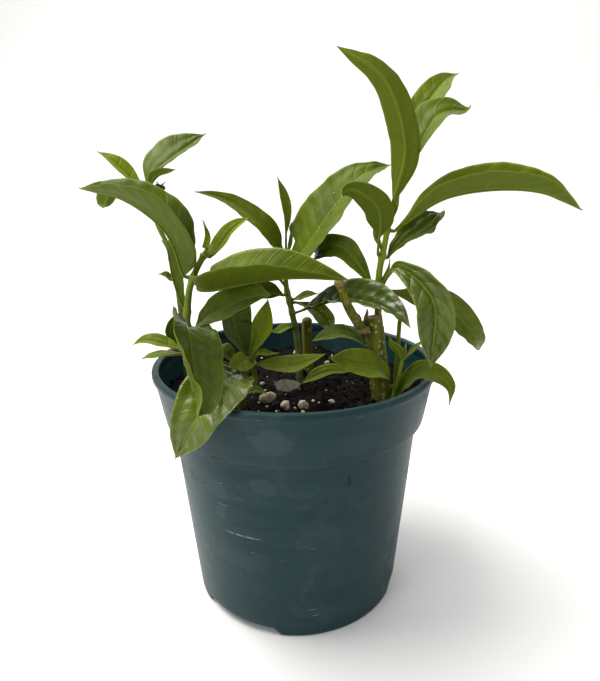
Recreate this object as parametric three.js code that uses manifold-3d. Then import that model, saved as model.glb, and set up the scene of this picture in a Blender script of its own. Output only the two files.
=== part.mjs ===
// Night-blooming jasmine (Cestrum nocturnum) in a round nursery pot.
// Millimetres, +Z up. The origin is the centre of the pot's underside, and -Y is the front.
//
// The pot holds a block of potting soil. Every stem stands in its own socket in that soil, and every
// leaf is a closed blade that starts a hair away from the stem that carries it.
import * as THREE from 'three';
import { mergeVertices } from 'three/addons/utils/BufferGeometryUtils.js';
import Module from 'manifold-3d';

const wasm = await Module();
wasm.setup();

// ---- Driving dimensions ---------------------------------------------------------------------------

const GAP = 0.35;                // clearance between pieces that touch

const POT_HEIGHT = 133.4;
const POT_WALL = 1.8;
const POT_FOOT_RADIUS = 58;      // outside of the foot ring, on the ground
const POT_BODY_RADIUS = 67;      // outside of the body just under the rim band
const POT_BAND_RADIUS = 70.4;    // outside of the rim band at its lower edge
const POT_RIM_RADIUS = 76;       // outside of the rolled lip
const POT_BAND_HEIGHT = 29;      // lower edge of the band to the top of the lip
const LIP_THICKNESS = 3.8;
const LIP_HEIGHT = 3.6;
const FLOOR_UNDERSIDE = 4.5;     // the floor hangs above the ground between the feet
const FOOT_WIDTH = 4;
const CENTRE_BOSS_RADIUS = 12;   // flat disc in the middle of the underside, level with the feet
const DRAIN_NOTCHES = 3;
const DRAIN_NOTCH_HEIGHT = 4.2;
const DRAIN_NOTCH_ARC = 50;      // degrees of the foot ring that each notch takes away
const FIRST_NOTCH_BEARING = -124;
const DRAIN_HOLES = 6;
const DRAIN_HOLE_RADIUS = 2.3;
const DRAIN_HOLE_CIRCLE = 42;
const POT_SEGMENTS = 40;

const SOIL_LEVEL = 116;          // mean height of the soil's surface
const SOIL_RELIEF = 1.1;         // how far the surface rises and falls about it
const ROOTED_DEPTH = 26;         // how far the stems go down into the soil
const SOCKET_PLAY = 0.6;         // clearance round a stem in its socket

const END_CROWN = 0.4;           // how far the middle of a rod's or a blade's end stands out

const STEM_SIDES = 7;
const STEM_STEP = 9;             // length of a stem between two rings

const BLADE_THICKNESS = 0.7;
const MIDRIB_THICKNESS = 1.2;
const BLADE_SHOULDER = 0.75;     // under 1 the blade widens abruptly from its petiole
const PETIOLE_RADIUS = 0.8;
const LEAF_STEP = 8;             // length of a leaf between two rings
const LEAF_STEPS_LEAST = 5;
const LEAF_STEPS_MOST = 10;

// ---- Closed solids from rings ---------------------------------------------------------------------

// Joins rings of equally many points, each ring counter-clockwise seen against the direction of travel,
// and closes both ends with a low cone on the end ring.
function loft(rings) {
  const sides = rings[0].length;
  const positions = [];
  const index = [];
  for (const ring of rings) {
    for (const point of ring) positions.push(point.x, point.y, point.z);
  }
  const vertex = (ring, side) => ring * sides + (side % sides);
  for (let ring = 0; ring + 1 < rings.length; ring++) {
    for (let side = 0; side < sides; side++) {
      const a = vertex(ring, side);
      const b = vertex(ring, side + 1);
      const c = vertex(ring + 1, side + 1);
      const d = vertex(ring + 1, side);
      index.push(a, b, c, a, c, d);
    }
  }
  const last = rings.length - 1;
  for (const end of [0, last]) {
    const middle = positions.length / 3;
    const centre = new THREE.Vector3();
    const inward = new THREE.Vector3();
    for (const point of rings[end]) centre.addScaledVector(point, 1 / sides);
    for (const point of rings[end === 0 ? 1 : last - 1]) inward.addScaledVector(point, 1 / sides);
    centre.addScaledVector(centre.clone().sub(inward).normalize(), END_CROWN);
    positions.push(centre.x, centre.y, centre.z);
    for (let side = 0; side < sides; side++) {
      const from = vertex(end, side);
      const to = vertex(end, side + 1);
      if (end === 0) index.push(middle, to, from);
      else index.push(middle, from, to);
    }
  }
  const geometry = new THREE.BufferGeometry();
  geometry.setAttribute('position', new THREE.Float32BufferAttribute(positions, 3));
  geometry.setIndex(index);
  return geometry;
}

// The geometry with shared vertices merged and only positions left.
function welded(geometry) {
  const bare = geometry.clone();
  bare.deleteAttribute('normal');
  bare.deleteAttribute('uv');
  return mergeVertices(bare, 1e-4);
}

// The same geometry as a manifold-3d solid, and back.
function toSolid(geometry) {
  const merged = welded(geometry);
  return new wasm.Manifold(new wasm.Mesh({
    numProp: 3,
    vertProperties: new Float32Array(merged.attributes.position.array),
    triVerts: new Uint32Array(merged.index.array),
  }));
}

function toGeometry(solid) {
  const mesh = solid.getMesh();
  const geometry = new THREE.BufferGeometry();
  geometry.setAttribute('position', new THREE.BufferAttribute(new Float32Array(mesh.vertProperties), 3));
  geometry.setIndex(new THREE.BufferAttribute(new Uint32Array(mesh.triVerts), 1));
  return geometry;
}

// ---- Materials ------------------------------------------------------------------------------------

const material = (color, roughness) => new THREE.MeshStandardMaterial({ color, roughness, metalness: 0 });
const MATERIALS = {
  pot: material(0x2f4447, 0.45),
  soil: material(0x2a1d14, 0.95),
  perlite: material(0xcbb99a, 0.9),
  litter: material(0x5b5346, 0.85),
  wood: material(0x5f5f24, 0.75),
  shoot: material(0x6f8a35, 0.55),
  stump: material(0x2f3018, 0.8),
  leaf: material(0x4c7016, 0.4),
  withered: material(0x2e2a1c, 0.9),
};

const plant = new THREE.Group();
plant.name = 'potted_night_blooming_jasmine';

function add(name, geometry, finish) {
  const mesh = new THREE.Mesh(geometry, MATERIALS[finish]);
  mesh.name = name;
  plant.add(mesh);
  return mesh;
}

// ---- Pot ------------------------------------------------------------------------------------------

// A surface of revolution about Z; the profile's points are [radius, height].
function turned(profile, segments = POT_SEGMENTS) {
  const points = profile.map(([radius, height]) => new THREE.Vector2(radius, height));
  const geometry = new THREE.LatheGeometry(points, segments);
  geometry.rotateX(Math.PI / 2);
  return geometry;
}

const BAND_FOOT = POT_HEIGHT - POT_BAND_HEIGHT;
const LIP_FOOT = POT_HEIGHT - LIP_HEIGHT;
const FLOOR_TOP = FLOOR_UNDERSIDE + POT_WALL;
const BAND_TOP_RADIUS = POT_RIM_RADIUS - 1.3;
const bodyRadius = (height) =>
  POT_FOOT_RADIUS + (POT_BODY_RADIUS - POT_FOOT_RADIUS) * height / BAND_FOOT;
const bandRadius = (height) =>
  POT_BAND_RADIUS + (BAND_TOP_RADIUS - POT_BAND_RADIUS) * (height - BAND_FOOT) / (LIP_FOOT - BAND_FOOT);

// Inner radius of the pot's wall at a height.
function innerRadius(height) {
  if (height < BAND_FOOT + POT_WALL) return bodyRadius(height) - POT_WALL;
  return bandRadius(height) - POT_WALL;
}

function potProfile() {
  const lipInner = POT_RIM_RADIUS - LIP_THICKNESS;
  const step = BAND_FOOT + POT_WALL;
  return [
    [0, 0],
    [CENTRE_BOSS_RADIUS, 0],
    [CENTRE_BOSS_RADIUS + 1, FLOOR_UNDERSIDE],
    [POT_FOOT_RADIUS - FOOT_WIDTH - 1, FLOOR_UNDERSIDE],
    [POT_FOOT_RADIUS - FOOT_WIDTH, 0],
    [POT_FOOT_RADIUS - 0.8, 0],
    [POT_FOOT_RADIUS, 0.8],
    [bodyRadius(BAND_FOOT), BAND_FOOT + 0.01],
    [POT_BAND_RADIUS - 0.5, BAND_FOOT],
    [POT_BAND_RADIUS, BAND_FOOT + 0.6],
    [BAND_TOP_RADIUS, LIP_FOOT],
    [POT_RIM_RADIUS, LIP_FOOT + 0.8],
    [POT_RIM_RADIUS, POT_HEIGHT - 1],
    [POT_RIM_RADIUS - 1, POT_HEIGHT],
    [lipInner + 1, POT_HEIGHT],
    [lipInner, POT_HEIGHT - 1],
    [lipInner, LIP_FOOT],
    [bandRadius(LIP_FOOT - 2) - POT_WALL, LIP_FOOT - 2],
    [bandRadius(step) - POT_WALL, step + 2],
    [bodyRadius(step) - POT_WALL, step],
    [bodyRadius(FLOOR_TOP + 2) - POT_WALL, FLOOR_TOP + 2],
    [bodyRadius(FLOOR_TOP) - POT_WALL - 2, FLOOR_TOP],
    [0, FLOOR_TOP],
  ];
}

// A wedge that takes one notch out of the foot ring, with sloping ends.
function drainNotch(bearing) {
  const half = THREE.MathUtils.degToRad(DRAIN_NOTCH_ARC / 2);
  const slope = THREE.MathUtils.degToRad(5);
  const inner = POT_FOOT_RADIUS - FOOT_WIDTH - 3;
  const outer = POT_FOOT_RADIUS + 5;
  const steps = 8;
  const rings = [];
  for (let i = 0; i <= steps; i++) {
    const angle = THREE.MathUtils.degToRad(bearing) - half + 2 * half * i / steps;
    const edge = Math.min(1, Math.min(i, steps - i) * (2 * half / steps) / slope);
    const top = 0.2 + (DRAIN_NOTCH_HEIGHT - 0.2) * edge;
    const at = (radius, height) =>
      new THREE.Vector3(radius * Math.cos(angle), radius * Math.sin(angle), height);
    rings.push([at(outer, -1), at(outer, top), at(inner, top), at(inner, -1)].reverse());
  }
  return loft(rings);
}

function drainHole(bearing) {
  const hole = new THREE.CylinderGeometry(DRAIN_HOLE_RADIUS, DRAIN_HOLE_RADIUS, 3 * POT_WALL, 10);
  hole.rotateX(Math.PI / 2);
  const angle = THREE.MathUtils.degToRad(bearing);
  hole.translate(DRAIN_HOLE_CIRCLE * Math.cos(angle), DRAIN_HOLE_CIRCLE * Math.sin(angle),
    (FLOOR_UNDERSIDE + FLOOR_TOP) / 2);
  return hole;
}

function nurseryPot() {
  let pot = toSolid(turned(potProfile()));
  for (let i = 0; i < DRAIN_NOTCHES; i++) {
    pot = pot.subtract(toSolid(drainNotch(FIRST_NOTCH_BEARING + i * 360 / DRAIN_NOTCHES)));
  }
  for (let i = 0; i < DRAIN_HOLES; i++) {
    pot = pot.subtract(toSolid(drainHole(i * 360 / DRAIN_HOLES)));
  }
  return toGeometry(pot);
}

add('nursery_pot', nurseryPot(), 'pot');

// ---- Stems ----------------------------------------------------------------------------------------

// Each stem's centreline from the soil up, with its radius at the foot and at the tip. The foot is
// where the stem leaves the soil; below it the stem runs on straight down for ROOTED_DEPTH.
const STEMS = {
  stem_left: {
    route: [[-53, -20, SOIL_LEVEL], [-53, -24, 150], [-52, -24, 166], [-49, -24, 181], [-42, -24, 194]],
    radius: [2.6, 1.4],
    finish: 'shoot',
  },
  stem_left_back: {
    route: [[-61, 8, SOIL_LEVEL], [-59, -4, 150], [-60, -3, 170], [-62, -1, 190], [-69, 2, 206], [-73, 3, 222]],
    radius: [1.7, 1.1],
    finish: 'shoot',
  },
  stem_front: {
    route: [[-27, -30, SOIL_LEVEL], [-26, -33, 131], [-22, -35, 144]],
    radius: [2.7, 1.6],
    finish: 'shoot',
  },
  stem_centre: {
    route: [[3, 6, SOIL_LEVEL], [2, 16, 138], [-1, 18, 156], [-4, 18, 172], [-3, 18, 188]],
    radius: [2.4, 1.3],
    finish: 'shoot',
  },
  stump_centre: {
    route: [[9, 24, SOIL_LEVEL], [8, 25, 133], [8, 25, 150]],
    radius: [3.2, 2.9],
    finish: 'stump',
  },
  cane_main: {
    route: [[45, -24, SOIL_LEVEL], [43, -24, 134], [41, -23, 150], [39.5, -22, 162]],
    radius: [5, 4.3],
    finish: 'wood',
  },
  shoot_tall: {
    route: [[43, -16, 158], [42.5, -19, 170], [42, -21, 182], [44, -22, 196], [47, -22, 215]],
    radius: [1.9, 1.3],
    finish: 'shoot',
    grafted: true,
  },
  stem_bare: {
    route: [[54, -12, SOIL_LEVEL], [55, -10, 143], [55.5, -10, 158]],
    radius: [1.4, 1.1],
    finish: 'shoot',
  },
  shoot_small: {
    route: [[49, -31, SOIL_LEVEL], [50, -32, 127], [52, -33, 136], [53, -33, 144]],
    radius: [1.7, 0.9],
    finish: 'shoot',
  },
};

// The cut side branch of the main cane.
const CANE_STUB = {
  route: [[40, -23, 152], [32, -28, 159.5], [25, -36, 172], [20.5, -42, 184]],
  radius: [2.4, 1.9],
};

const toVectors = (points) => points.map(([x, y, z]) => new THREE.Vector3(x, y, z));
const centreline = (route) => new THREE.CatmullRomCurve3(toVectors(route), false, 'centripetal');

// A round, tapering rod along a route, with both ends flat.
function rod(route, [footRadius, tipRadius], sides = STEM_SIDES) {
  const curve = centreline(route);
  const steps = Math.max(2, Math.round(curve.getLength() / STEM_STEP));
  const frames = curve.computeFrenetFrames(steps, false);
  const rings = [];
  for (let i = 0; i <= steps; i++) {
    const middle = curve.getPointAt(i / steps);
    const radius = THREE.MathUtils.lerp(footRadius, tipRadius, i / steps);
    const ring = [];
    for (let side = 0; side < sides; side++) {
      const angle = 2 * Math.PI * side / sides;
      ring.push(middle.clone()
        .addScaledVector(frames.normals[i], radius * Math.cos(angle))
        .addScaledVector(frames.binormals[i], radius * Math.sin(angle)));
    }
    rings.push(ring);
  }
  return loft(rings);
}

// A stem's route with the stretch that stands in the soil.
function rootedRoute({ route, grafted }, depth = ROOTED_DEPTH) {
  if (grafted) return route;
  const [x, y, z] = route[0];
  return [[x, y, z - depth], ...route];
}

for (const [name, stem] of Object.entries(STEMS)) {
  let geometry = rod(rootedRoute(stem), stem.radius);
  if (name === 'cane_main') {
    geometry = toGeometry(toSolid(geometry).add(toSolid(rod(CANE_STUB.route, CANE_STUB.radius))));
  }
  add(name, geometry, stem.finish);
}

// ---- Soil -----------------------------------------------------------------------------------------

const SOIL_RINGS = [0.2, 0.4, 0.6, 0.8, 0.93];   // rings of the surface, as parts of its radius

const soilRelief = (x, y) =>
  SOIL_RELIEF * (Math.sin(x / 9 + 1) * Math.cos(y / 11) + 0.5 * Math.sin(x / 4.3 - y / 5.1));

// The block of soil before the stems' sockets are cut.
function soilBlock() {
  const bottom = FLOOR_TOP + GAP + END_CROWN;
  const edge = innerRadius(SOIL_LEVEL) - GAP;
  const step = BAND_FOOT + POT_WALL;
  const ring = (radius, height) => {
    const points = [];
    for (let i = 0; i < POT_SEGMENTS; i++) {
      const angle = 2 * Math.PI * i / POT_SEGMENTS;
      const x = radius * Math.cos(angle);
      const y = radius * Math.sin(angle);
      points.push(new THREE.Vector3(x, y, height === undefined ? SOIL_LEVEL + soilRelief(x, y) : height));
    }
    return points;
  };
  const wall = [
    ring(bodyRadius(bottom + 2.4) - POT_WALL - 2.4 - GAP, bottom),
    ring(bodyRadius(bottom + 2.4) - POT_WALL - 2 * GAP, bottom + 2.4),
    ring(bodyRadius(step) - POT_WALL - 2 * GAP, step + GAP),
    ring(bandRadius(step) - POT_WALL - 2 * GAP, step + 2 + 2 * GAP),
    ring(edge - GAP, SOIL_LEVEL - 2),
  ];
  const surface = [...SOIL_RINGS].reverse().map((part) => ring(edge * part));
  return loft([...wall, ...surface]);
}

function pottingSoil() {
  let soil = toSolid(soilBlock());
  for (const stem of Object.values(STEMS)) {
    if (stem.grafted) continue;
    const socket = rod(rootedRoute(stem, ROOTED_DEPTH + GAP), stem.radius.map((radius) => radius + SOCKET_PLAY));
    soil = soil.subtract(toSolid(socket));
  }
  return toGeometry(soil);
}

add('potting_soil', pottingSoil(), 'soil');

// ---- Loose bits on the soil -----------------------------------------------------------------------

// A granule is a knobbly ball; bumps come from a fixed formula, so every run gives the same shape.
function granule([x, y], size, squash = 0.8) {
  const merged = welded(new THREE.IcosahedronGeometry(size / 2, 1));
  const position = merged.attributes.position;
  for (let i = 0; i < position.count; i++) {
    const point = new THREE.Vector3().fromBufferAttribute(position, i);
    const bump = 1 + 0.12 * Math.sin(point.x * 3.1 + x) * Math.cos(point.y * 2.7 + point.z * 2.2 + y);
    position.setXYZ(i, point.x * bump, point.y * bump, point.z * bump * squash);
  }
  merged.translate(x, y, SOIL_LEVEL + soilRelief(x, y) + size * squash * 0.56 + GAP);
  return merged;
}

const PERLITE = [
  { at: [-13, -24], size: 7 },
  { at: [4.5, -29], size: 5.5 },
  { at: [-5, -29.5], size: 4.5 },
];
PERLITE.forEach(({ at, size }, i) => add(`perlite_${i + 1}`, granule(at, size), 'perlite'));

// A flat dry flake lying on the soil.
function litterFlake() {
  const outline = new THREE.Shape();
  outline.moveTo(-7.5, -2);
  outline.quadraticCurveTo(-3, -6.5, 4, -5);
  outline.quadraticCurveTo(9, -3, 7, 2);
  outline.quadraticCurveTo(3, 6.5, -3, 5);
  outline.quadraticCurveTo(-8, 3, -7.5, -2);
  const flake = new THREE.ExtrudeGeometry(outline, { depth: 1.1, bevelEnabled: false, curveSegments: 5 });
  flake.rotateX(THREE.MathUtils.degToRad(8));
  flake.translate(-4, -9, SOIL_LEVEL + SOIL_RELIEF + 1.2);
  return flake;
}

add('litter_flake', litterFlake(), 'litter');

// The withered flower bud at the top of the back left stem: a calyx on a short stalk.
function witheredBud() {
  const stalk = [[-71.2, 2.4, 223.6], [-69, 1.8, 224.5], [-67, 1.5, 224.6]];
  const calyx = [[-67, 1.5, 224.6], [-64.5, 1.2, 224.4], [-62, 1, 224.6]];
  const bud = toSolid(rod(stalk, [0.9, 1.3])).add(toSolid(rod(calyx, [2.1, 0.9])));
  return toGeometry(bud);
}

add('withered_bud', witheredBud(), 'withered');

// ---- Leaves ---------------------------------------------------------------------------------------

// Half the blade's width at a place along the leaf, from 0 at the stem to 1 at the tip. The petiole has
// no blade; the blade is widest at the part of its length called belly and runs out to a point.
function halfWidth(along, width, petiolePart, belly, shoulder) {
  const blade = THREE.MathUtils.clamp((along - petiolePart) / (1 - petiolePart), 0, 1);
  const skew = Math.log(0.5) / Math.log(belly);
  return width / 2 * Math.sin(Math.PI * blade ** skew) ** (shoulder + 0.3 * blade);
}

// How far along its midrib a leaf starts, so that its petiole clears the stem it grows on.
function clearOfStem(midrib, stem) {
  const line = centreline(rootedRoute(stem));
  const length = midrib.getLength();
  const clearance = Math.max(...stem.radius) + PETIOLE_RADIUS + GAP;
  for (let along = 0; along < 0.4; along += 0.25 / length) {
    const point = midrib.getPointAt(along);
    let nearest = Infinity;
    for (let i = 0; i <= 60; i++) nearest = Math.min(nearest, line.getPointAt(i / 60).distanceTo(point));
    if (nearest > clearance) return along;
  }
  return 0.4;
}

// One leaf. Its blade lies across the midrib, level when roll is 0, and roll turns it about the midrib,
// from its first value at the stem to its second at the tip. Fold lifts both halves of the blade
// towards the upper face.
function leafBlade({ stem, midrib, width, roll, fold, petiole, belly = 0.42, shoulder = BLADE_SHOULDER }) {
  const curve = new THREE.CatmullRomCurve3(toVectors(midrib), false, 'catmullrom', 0.5);
  const length = curve.getLength();
  const chord = toVectors([midrib[midrib.length - 1]])[0].sub(toVectors([midrib[0]])[0]);
  const level = new THREE.Vector3(-chord.y, chord.x, 0).normalize();
  const start = clearOfStem(curve, STEMS[stem]);
  const tilt = THREE.MathUtils.degToRad(fold);
  const steps = THREE.MathUtils.clamp(Math.round(length / LEAF_STEP), LEAF_STEPS_LEAST, LEAF_STEPS_MOST);
  const rings = [];
  for (let i = 0; i <= steps; i++) {
    const along = start + (0.995 - start) * i / steps;
    const middle = curve.getPointAt(along);
    const tangent = curve.getTangentAt(along);
    const across = level.clone().addScaledVector(tangent, -level.dot(tangent)).normalize();
    across.applyAxisAngle(tangent, THREE.MathUtils.degToRad(THREE.MathUtils.lerp(roll[0], roll[1], along)));
    const upper = new THREE.Vector3().crossVectors(tangent, across);
    const half = halfWidth(along, width, petiole / length, belly, shoulder) + PETIOLE_RADIUS;
    const taper = Math.min(1, (1 - along) * 8 + 0.35);
    const rib = MIDRIB_THICKNESS * taper;
    const blade = BLADE_THICKNESS * taper;
    const at = (side, out, lift) => middle.clone()
      .addScaledVector(across, side * out * half * Math.cos(tilt))
      .addScaledVector(upper, out * half * Math.sin(tilt) + lift);
    rings.push([
      at(1, 1, 0),
      at(1, 0.5, blade / 2),
      at(0, 0, blade / 2),
      at(-1, 0.5, blade / 2),
      at(-1, 1, 0),
      at(-1, 0.5, -blade / 2),
      at(0, 0, -rib),
      at(1, 0.5, -blade / 2),
    ]);
  }
  return loft(rings);
}

// The leaves, stem by stem. The midrib's points run from the stem to the tip, roll and fold are in degrees,
// and petiole is the length of the stalk.
const LEAVES = [
  {
    name: 'left_arching',
    stem: 'stem_left',
    midrib: [[-51, -24, 181], [-58, -29, 206], [-78, -22, 220], [-101, -13, 225]],
    width: 33,
    roll: [30, -25],
    fold: 40,
    petiole: 6,
    belly: 0.35,
  },
  {
    name: 'left_back_outer',
    stem: 'stem_left_back',
    midrib: [[-74, 4, 223], [-82, 5, 230], [-89, 6, 237], [-97, 8, 242]],
    width: 9,
    roll: [-25, -25],
    fold: 20,
    petiole: 5,
  },
  {
    name: 'left_back_top',
    stem: 'stem_left_back',
    midrib: [[-73, 2, 224], [-70, 4, 231], [-57, 8, 241], [-44, 13, 250]],
    width: 26,
    roll: [15, 30],
    fold: 20,
    petiole: 3,
    belly: 0.45,
  },
  {
    name: 'left_back_sliver',
    stem: 'stem_left_back',
    midrib: [[-71, -2, 223], [-67, -5, 230], [-61, -7, 232], [-56, -10, 233]],
    width: 5,
    roll: [-10, -35],
    fold: 10,
    petiole: 3,
    belly: 0.45,
  },
  {
    name: 'left_back_drooping',
    stem: 'stem_left_back',
    midrib: [[-75, 7, 223], [-91, 10, 225], [-99, 15, 216], [-103, 23, 214]],
    width: 10,
    roll: [15, 25],
    fold: 10,
    petiole: 4,
    belly: 0.45,
  },
  {
    name: 'left_behind',
    stem: 'stem_left',
    midrib: [[-54, -18, 166], [-58, -17, 179], [-61, -15, 196], [-65, -8, 199]],
    width: 12,
    roll: [75, 85],
    fold: 15,
    petiole: 4,
    belly: 0.45,
  },
  {
    name: 'left_back_curl',
    stem: 'stem_left_back',
    midrib: [[-60, -3, 178], [-63, -4, 179], [-65, -5, 181], [-68, -6, 182]],
    width: 5,
    roll: [-15, -35],
    fold: 10,
    petiole: 2,
    belly: 0.45,
  },
  {
    name: 'left_tip_bud',
    stem: 'stem_left',
    midrib: [[-45, -24, 189], [-42, -23, 195], [-40, -21, 202], [-42, -20, 209]],
    width: 3,
    roll: [10, 5],
    fold: 10,
    petiole: 3,
  },
  {
    name: 'left_top',
    stem: 'stem_left',
    midrib: [[-42, -24, 193], [-38, -19, 194], [-29, -15, 205], [-21, -12, 210]],
    width: 9,
    roll: [10, 30],
    fold: 20,
    petiole: 2,
    belly: 0.45,
  },
  {
    name: 'left_long',
    stem: 'stem_left',
    midrib: [[-45, -26, 181], [-40, -38, 180], [-5, -44, 186], [25, -46, 185]],
    width: 31,
    roll: [0, 25],
    fold: 45,
    petiole: 3,
  },
  {
    name: 'left_dark',
    stem: 'stem_left',
    midrib: [[-49, -23, 158], [-39, -32, 167], [-19, -42, 177], [-10, -52, 180]],
    width: 18,
    roll: [45, 55],
    fold: 15,
    petiole: 3,
    belly: 0.45,
  },
  {
    name: 'front_hanging',
    stem: 'stem_left',
    midrib: [[-51, -27, 158], [-47, -50, 164], [-41, -72, 143], [-38, -89, 140]],
    width: 28,
    roll: [-20, -70],
    fold: 15,
    petiole: 2,
    belly: 0.50,
  },
  {
    name: 'front_lowest',
    stem: 'stem_front',
    midrib: [[-25, -34, 138], [-31, -53, 141], [-42, -71, 131], [-53, -69, 111]],
    width: 27,
    roll: [-20, -20],
    fold: 12,
    petiole: 3,
  },
  {
    name: 'left_over_rim',
    stem: 'stem_left',
    midrib: [[-54, -23, 146], [-64, -22, 149], [-74, -20, 151], [-82, -17, 148]],
    width: 8,
    roll: [-5, -35],
    fold: 15,
    petiole: 4,
    belly: 0.45,
  },
  {
    name: 'left_browned',
    stem: 'stem_left',
    midrib: [[-55, -20, 144], [-65, -17, 142], [-75, -13, 140], [-81, -8, 137]],
    width: 5,
    roll: [-10, -30],
    fold: 15,
    petiole: 4,
    belly: 0.45,
  },
  {
    name: 'left_rounded',
    stem: 'stem_left',
    midrib: [[-55, -16, 146], [-59, -15, 150], [-59, -12, 157], [-58, -8, 162]],
    width: 12,
    roll: [-10, 0],
    fold: 10,
    petiole: 2,
  },
  {
    name: 'front_rounded',
    stem: 'stem_front',
    midrib: [[-28, -31, 141], [-33, -29, 146], [-35, -26, 149], [-37, -22, 148]],
    width: 8,
    roll: [15, 0],
    fold: 10,
    petiole: 2,
    belly: 0.45,
  },
  {
    name: 'front_small',
    stem: 'stem_front',
    midrib: [[-22, -34, 145], [-22, -39, 146], [-28, -43, 144], [-29, -47, 145]],
    width: 9,
    roll: [-30, -30],
    fold: 10,
    petiole: 1,
  },
  {
    name: 'front_dark',
    stem: 'stem_front',
    midrib: [[-23, -32, 144], [-30, -24, 162], [-28, -16, 168], [-33, -8, 170]],
    width: 22,
    roll: [30, 30],
    fold: 15,
    petiole: 3,
  },
  {
    name: 'front_upright',
    stem: 'stem_front',
    midrib: [[-21, -35, 146], [-16, -33, 154], [-13, -32, 163], [-12, -31, 173]],
    width: 12,
    roll: [5, 40],
    fold: 20,
    petiole: 2,
    belly: 0.50,
  },
  {
    name: 'front_curved',
    stem: 'stem_front',
    midrib: [[-20, -36, 145], [-17, -38, 149], [-13, -40, 149], [-8, -42, 150]],
    width: 4,
    roll: [10, 10],
    fold: 10,
    petiole: 2,
  },
  {
    name: 'front_level',
    stem: 'stem_front',
    midrib: [[-21, -36, 143], [-10, -39, 143], [1, -42, 144], [14, -45, 150]],
    width: 9,
    roll: [30, 40],
    fold: 15,
    petiole: 4,
    belly: 0.45,
  },
  {
    name: 'front_foot',
    stem: 'stem_front',
    midrib: [[-25, -33, 125], [-22, -35, 128], [-18, -38, 130], [-14, -40, 129]],
    width: 4,
    roll: [30, 25],
    fold: 10,
    petiole: 2,
  },
  {
    name: 'centre_low',
    stem: 'stem_centre',
    midrib: [[-3, 16, 165], [-15, 12, 168], [-27, 7, 170], [-37, 2, 172]],
    width: 13,
    roll: [50, 75],
    fold: 10,
    petiole: 3,
    belly: 0.45,
  },
  {
    name: 'centre_glossy',
    stem: 'stem_centre',
    midrib: [[0, 16, 155], [24, -11, 168.5], [43, -36, 169.5], [53, -47, 163]],
    width: 21,
    roll: [50, 20],
    fold: 35,
    petiole: 8,
    belly: 0.60,
  },
  {
    name: 'centre_under',
    stem: 'stem_centre',
    midrib: [[2, 17, 161], [13, 12, 156.5], [19, 6, 150], [20, -2, 149]],
    width: 11,
    roll: [20, 20],
    fold: 20,
    petiole: 5,
  },
  {
    name: 'right_inner',
    stem: 'cane_main',
    midrib: [[38, -21, 145], [28, -18, 151], [17, -14, 150], [10, -10, 146]],
    width: 12,
    roll: [-5, -30],
    fold: 15,
    petiole: 4,
    belly: 0.45,
  },
  {
    name: 'right_level',
    stem: 'shoot_small',
    midrib: [[48, -33, 128], [42, -35, 138], [26, -37, 143], [17, -42, 147]],
    width: 16,
    roll: [-25, -50],
    fold: 15,
    petiole: 4,
    belly: 0.45,
  },
  {
    name: 'right_twisted',
    stem: 'cane_main',
    midrib: [[39, -24, 132], [26, -26, 135], [15, -28, 135], [4, -30, 130]],
    width: 7,
    roll: [-10, -35],
    fold: 15,
    petiole: 8,
    belly: 0.50,
  },
  {
    name: 'centre_sliver',
    stem: 'stem_centre',
    midrib: [[-1, 16, 163], [4, 14, 164], [8, 12, 166], [13, 10, 167]],
    width: 5,
    roll: [25, 40],
    fold: 10,
    petiole: 2,
    belly: 0.45,
  },
  {
    name: 'right_drooping',
    stem: 'shoot_tall',
    midrib: [[41, -20, 175], [26, -12, 194], [13, -3, 192], [13, 9, 187]],
    width: 12,
    roll: [-30, -75],
    fold: 15,
    petiole: 4,
    belly: 0.55,
  },
  {
    name: 'centre_strip',
    stem: 'stem_centre',
    midrib: [[1, 16, 146], [-4, 14, 147], [-9, 12, 145], [-13, 10, 146]],
    width: 5,
    roll: [-15, -25],
    fold: 10,
    petiole: 2,
    belly: 0.45,
  },
  {
    name: 'right_over_rim',
    stem: 'shoot_small',
    midrib: [[49, -27, 119], [62, -35, 137], [74, -41, 132], [75, -42, 123]],
    width: 11,
    roll: [45, 25],
    fold: 15,
    petiole: 5,
  },
  {
    name: 'centre_large',
    stem: 'stem_centre',
    midrib: [[-3, 16, 187], [4, 5, 190], [32, 2, 226], [51, 10, 234]],
    width: 38,
    roll: [25, 40],
    fold: 15,
    petiole: 3,
    belly: 0.35,
  },
  {
    name: 'right_curled',
    stem: 'shoot_tall',
    midrib: [[41, -24, 193], [40, -29, 214], [28, -31, 223], [19, -33, 221]],
    width: 12,
    roll: [45, 85],
    fold: 10,
    petiole: 8,
    belly: 0.35,
  },
  {
    name: 'centre_upright',
    stem: 'stem_centre',
    midrib: [[-3, 17, 189], [-3, 17, 202], [-4, 18, 216], [-7, 19, 228]],
    width: 6,
    roll: [0, -30],
    fold: 20,
    petiole: 10,
    belly: 0.50,
  },
  {
    name: 'centre_arching',
    stem: 'stem_centre',
    midrib: [[-5, 17, 189], [-16, 9, 205], [-34, 7, 218], [-49, 8, 222]],
    width: 12,
    roll: [-55, -45],
    fold: 15,
    petiole: 4,
    belly: 0.30,
  },
  {
    name: 'right_long',
    stem: 'shoot_tall',
    midrib: [[47, -22, 203], [73, -27, 220], [109, -31, 222], [133, -30, 213]],
    width: 24,
    roll: [5, 20],
    fold: 50,
    petiole: 8,
    belly: 0.50,
  },
  {
    name: 'right_crumpled',
    stem: 'shoot_tall',
    midrib: [[44, -20, 188], [51, -21, 197], [67, -19, 208], [72, -11, 211]],
    width: 15,
    roll: [20, 40],
    fold: 15,
    petiole: 6,
    belly: 0.55,
  },
  {
    name: 'right_hanging',
    stem: 'shoot_tall',
    midrib: [[43, -23, 177], [49, -34, 188], [63, -47, 174], [64, -45, 143]],
    width: 17,
    roll: [75, 45],
    fold: 25,
    petiole: 8,
    belly: 0.60,
  },
  {
    name: 'right_back',
    stem: 'shoot_tall',
    midrib: [[44, -19, 175], [75, -17, 166], [95, -12, 147], [103, 2, 136]],
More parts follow.
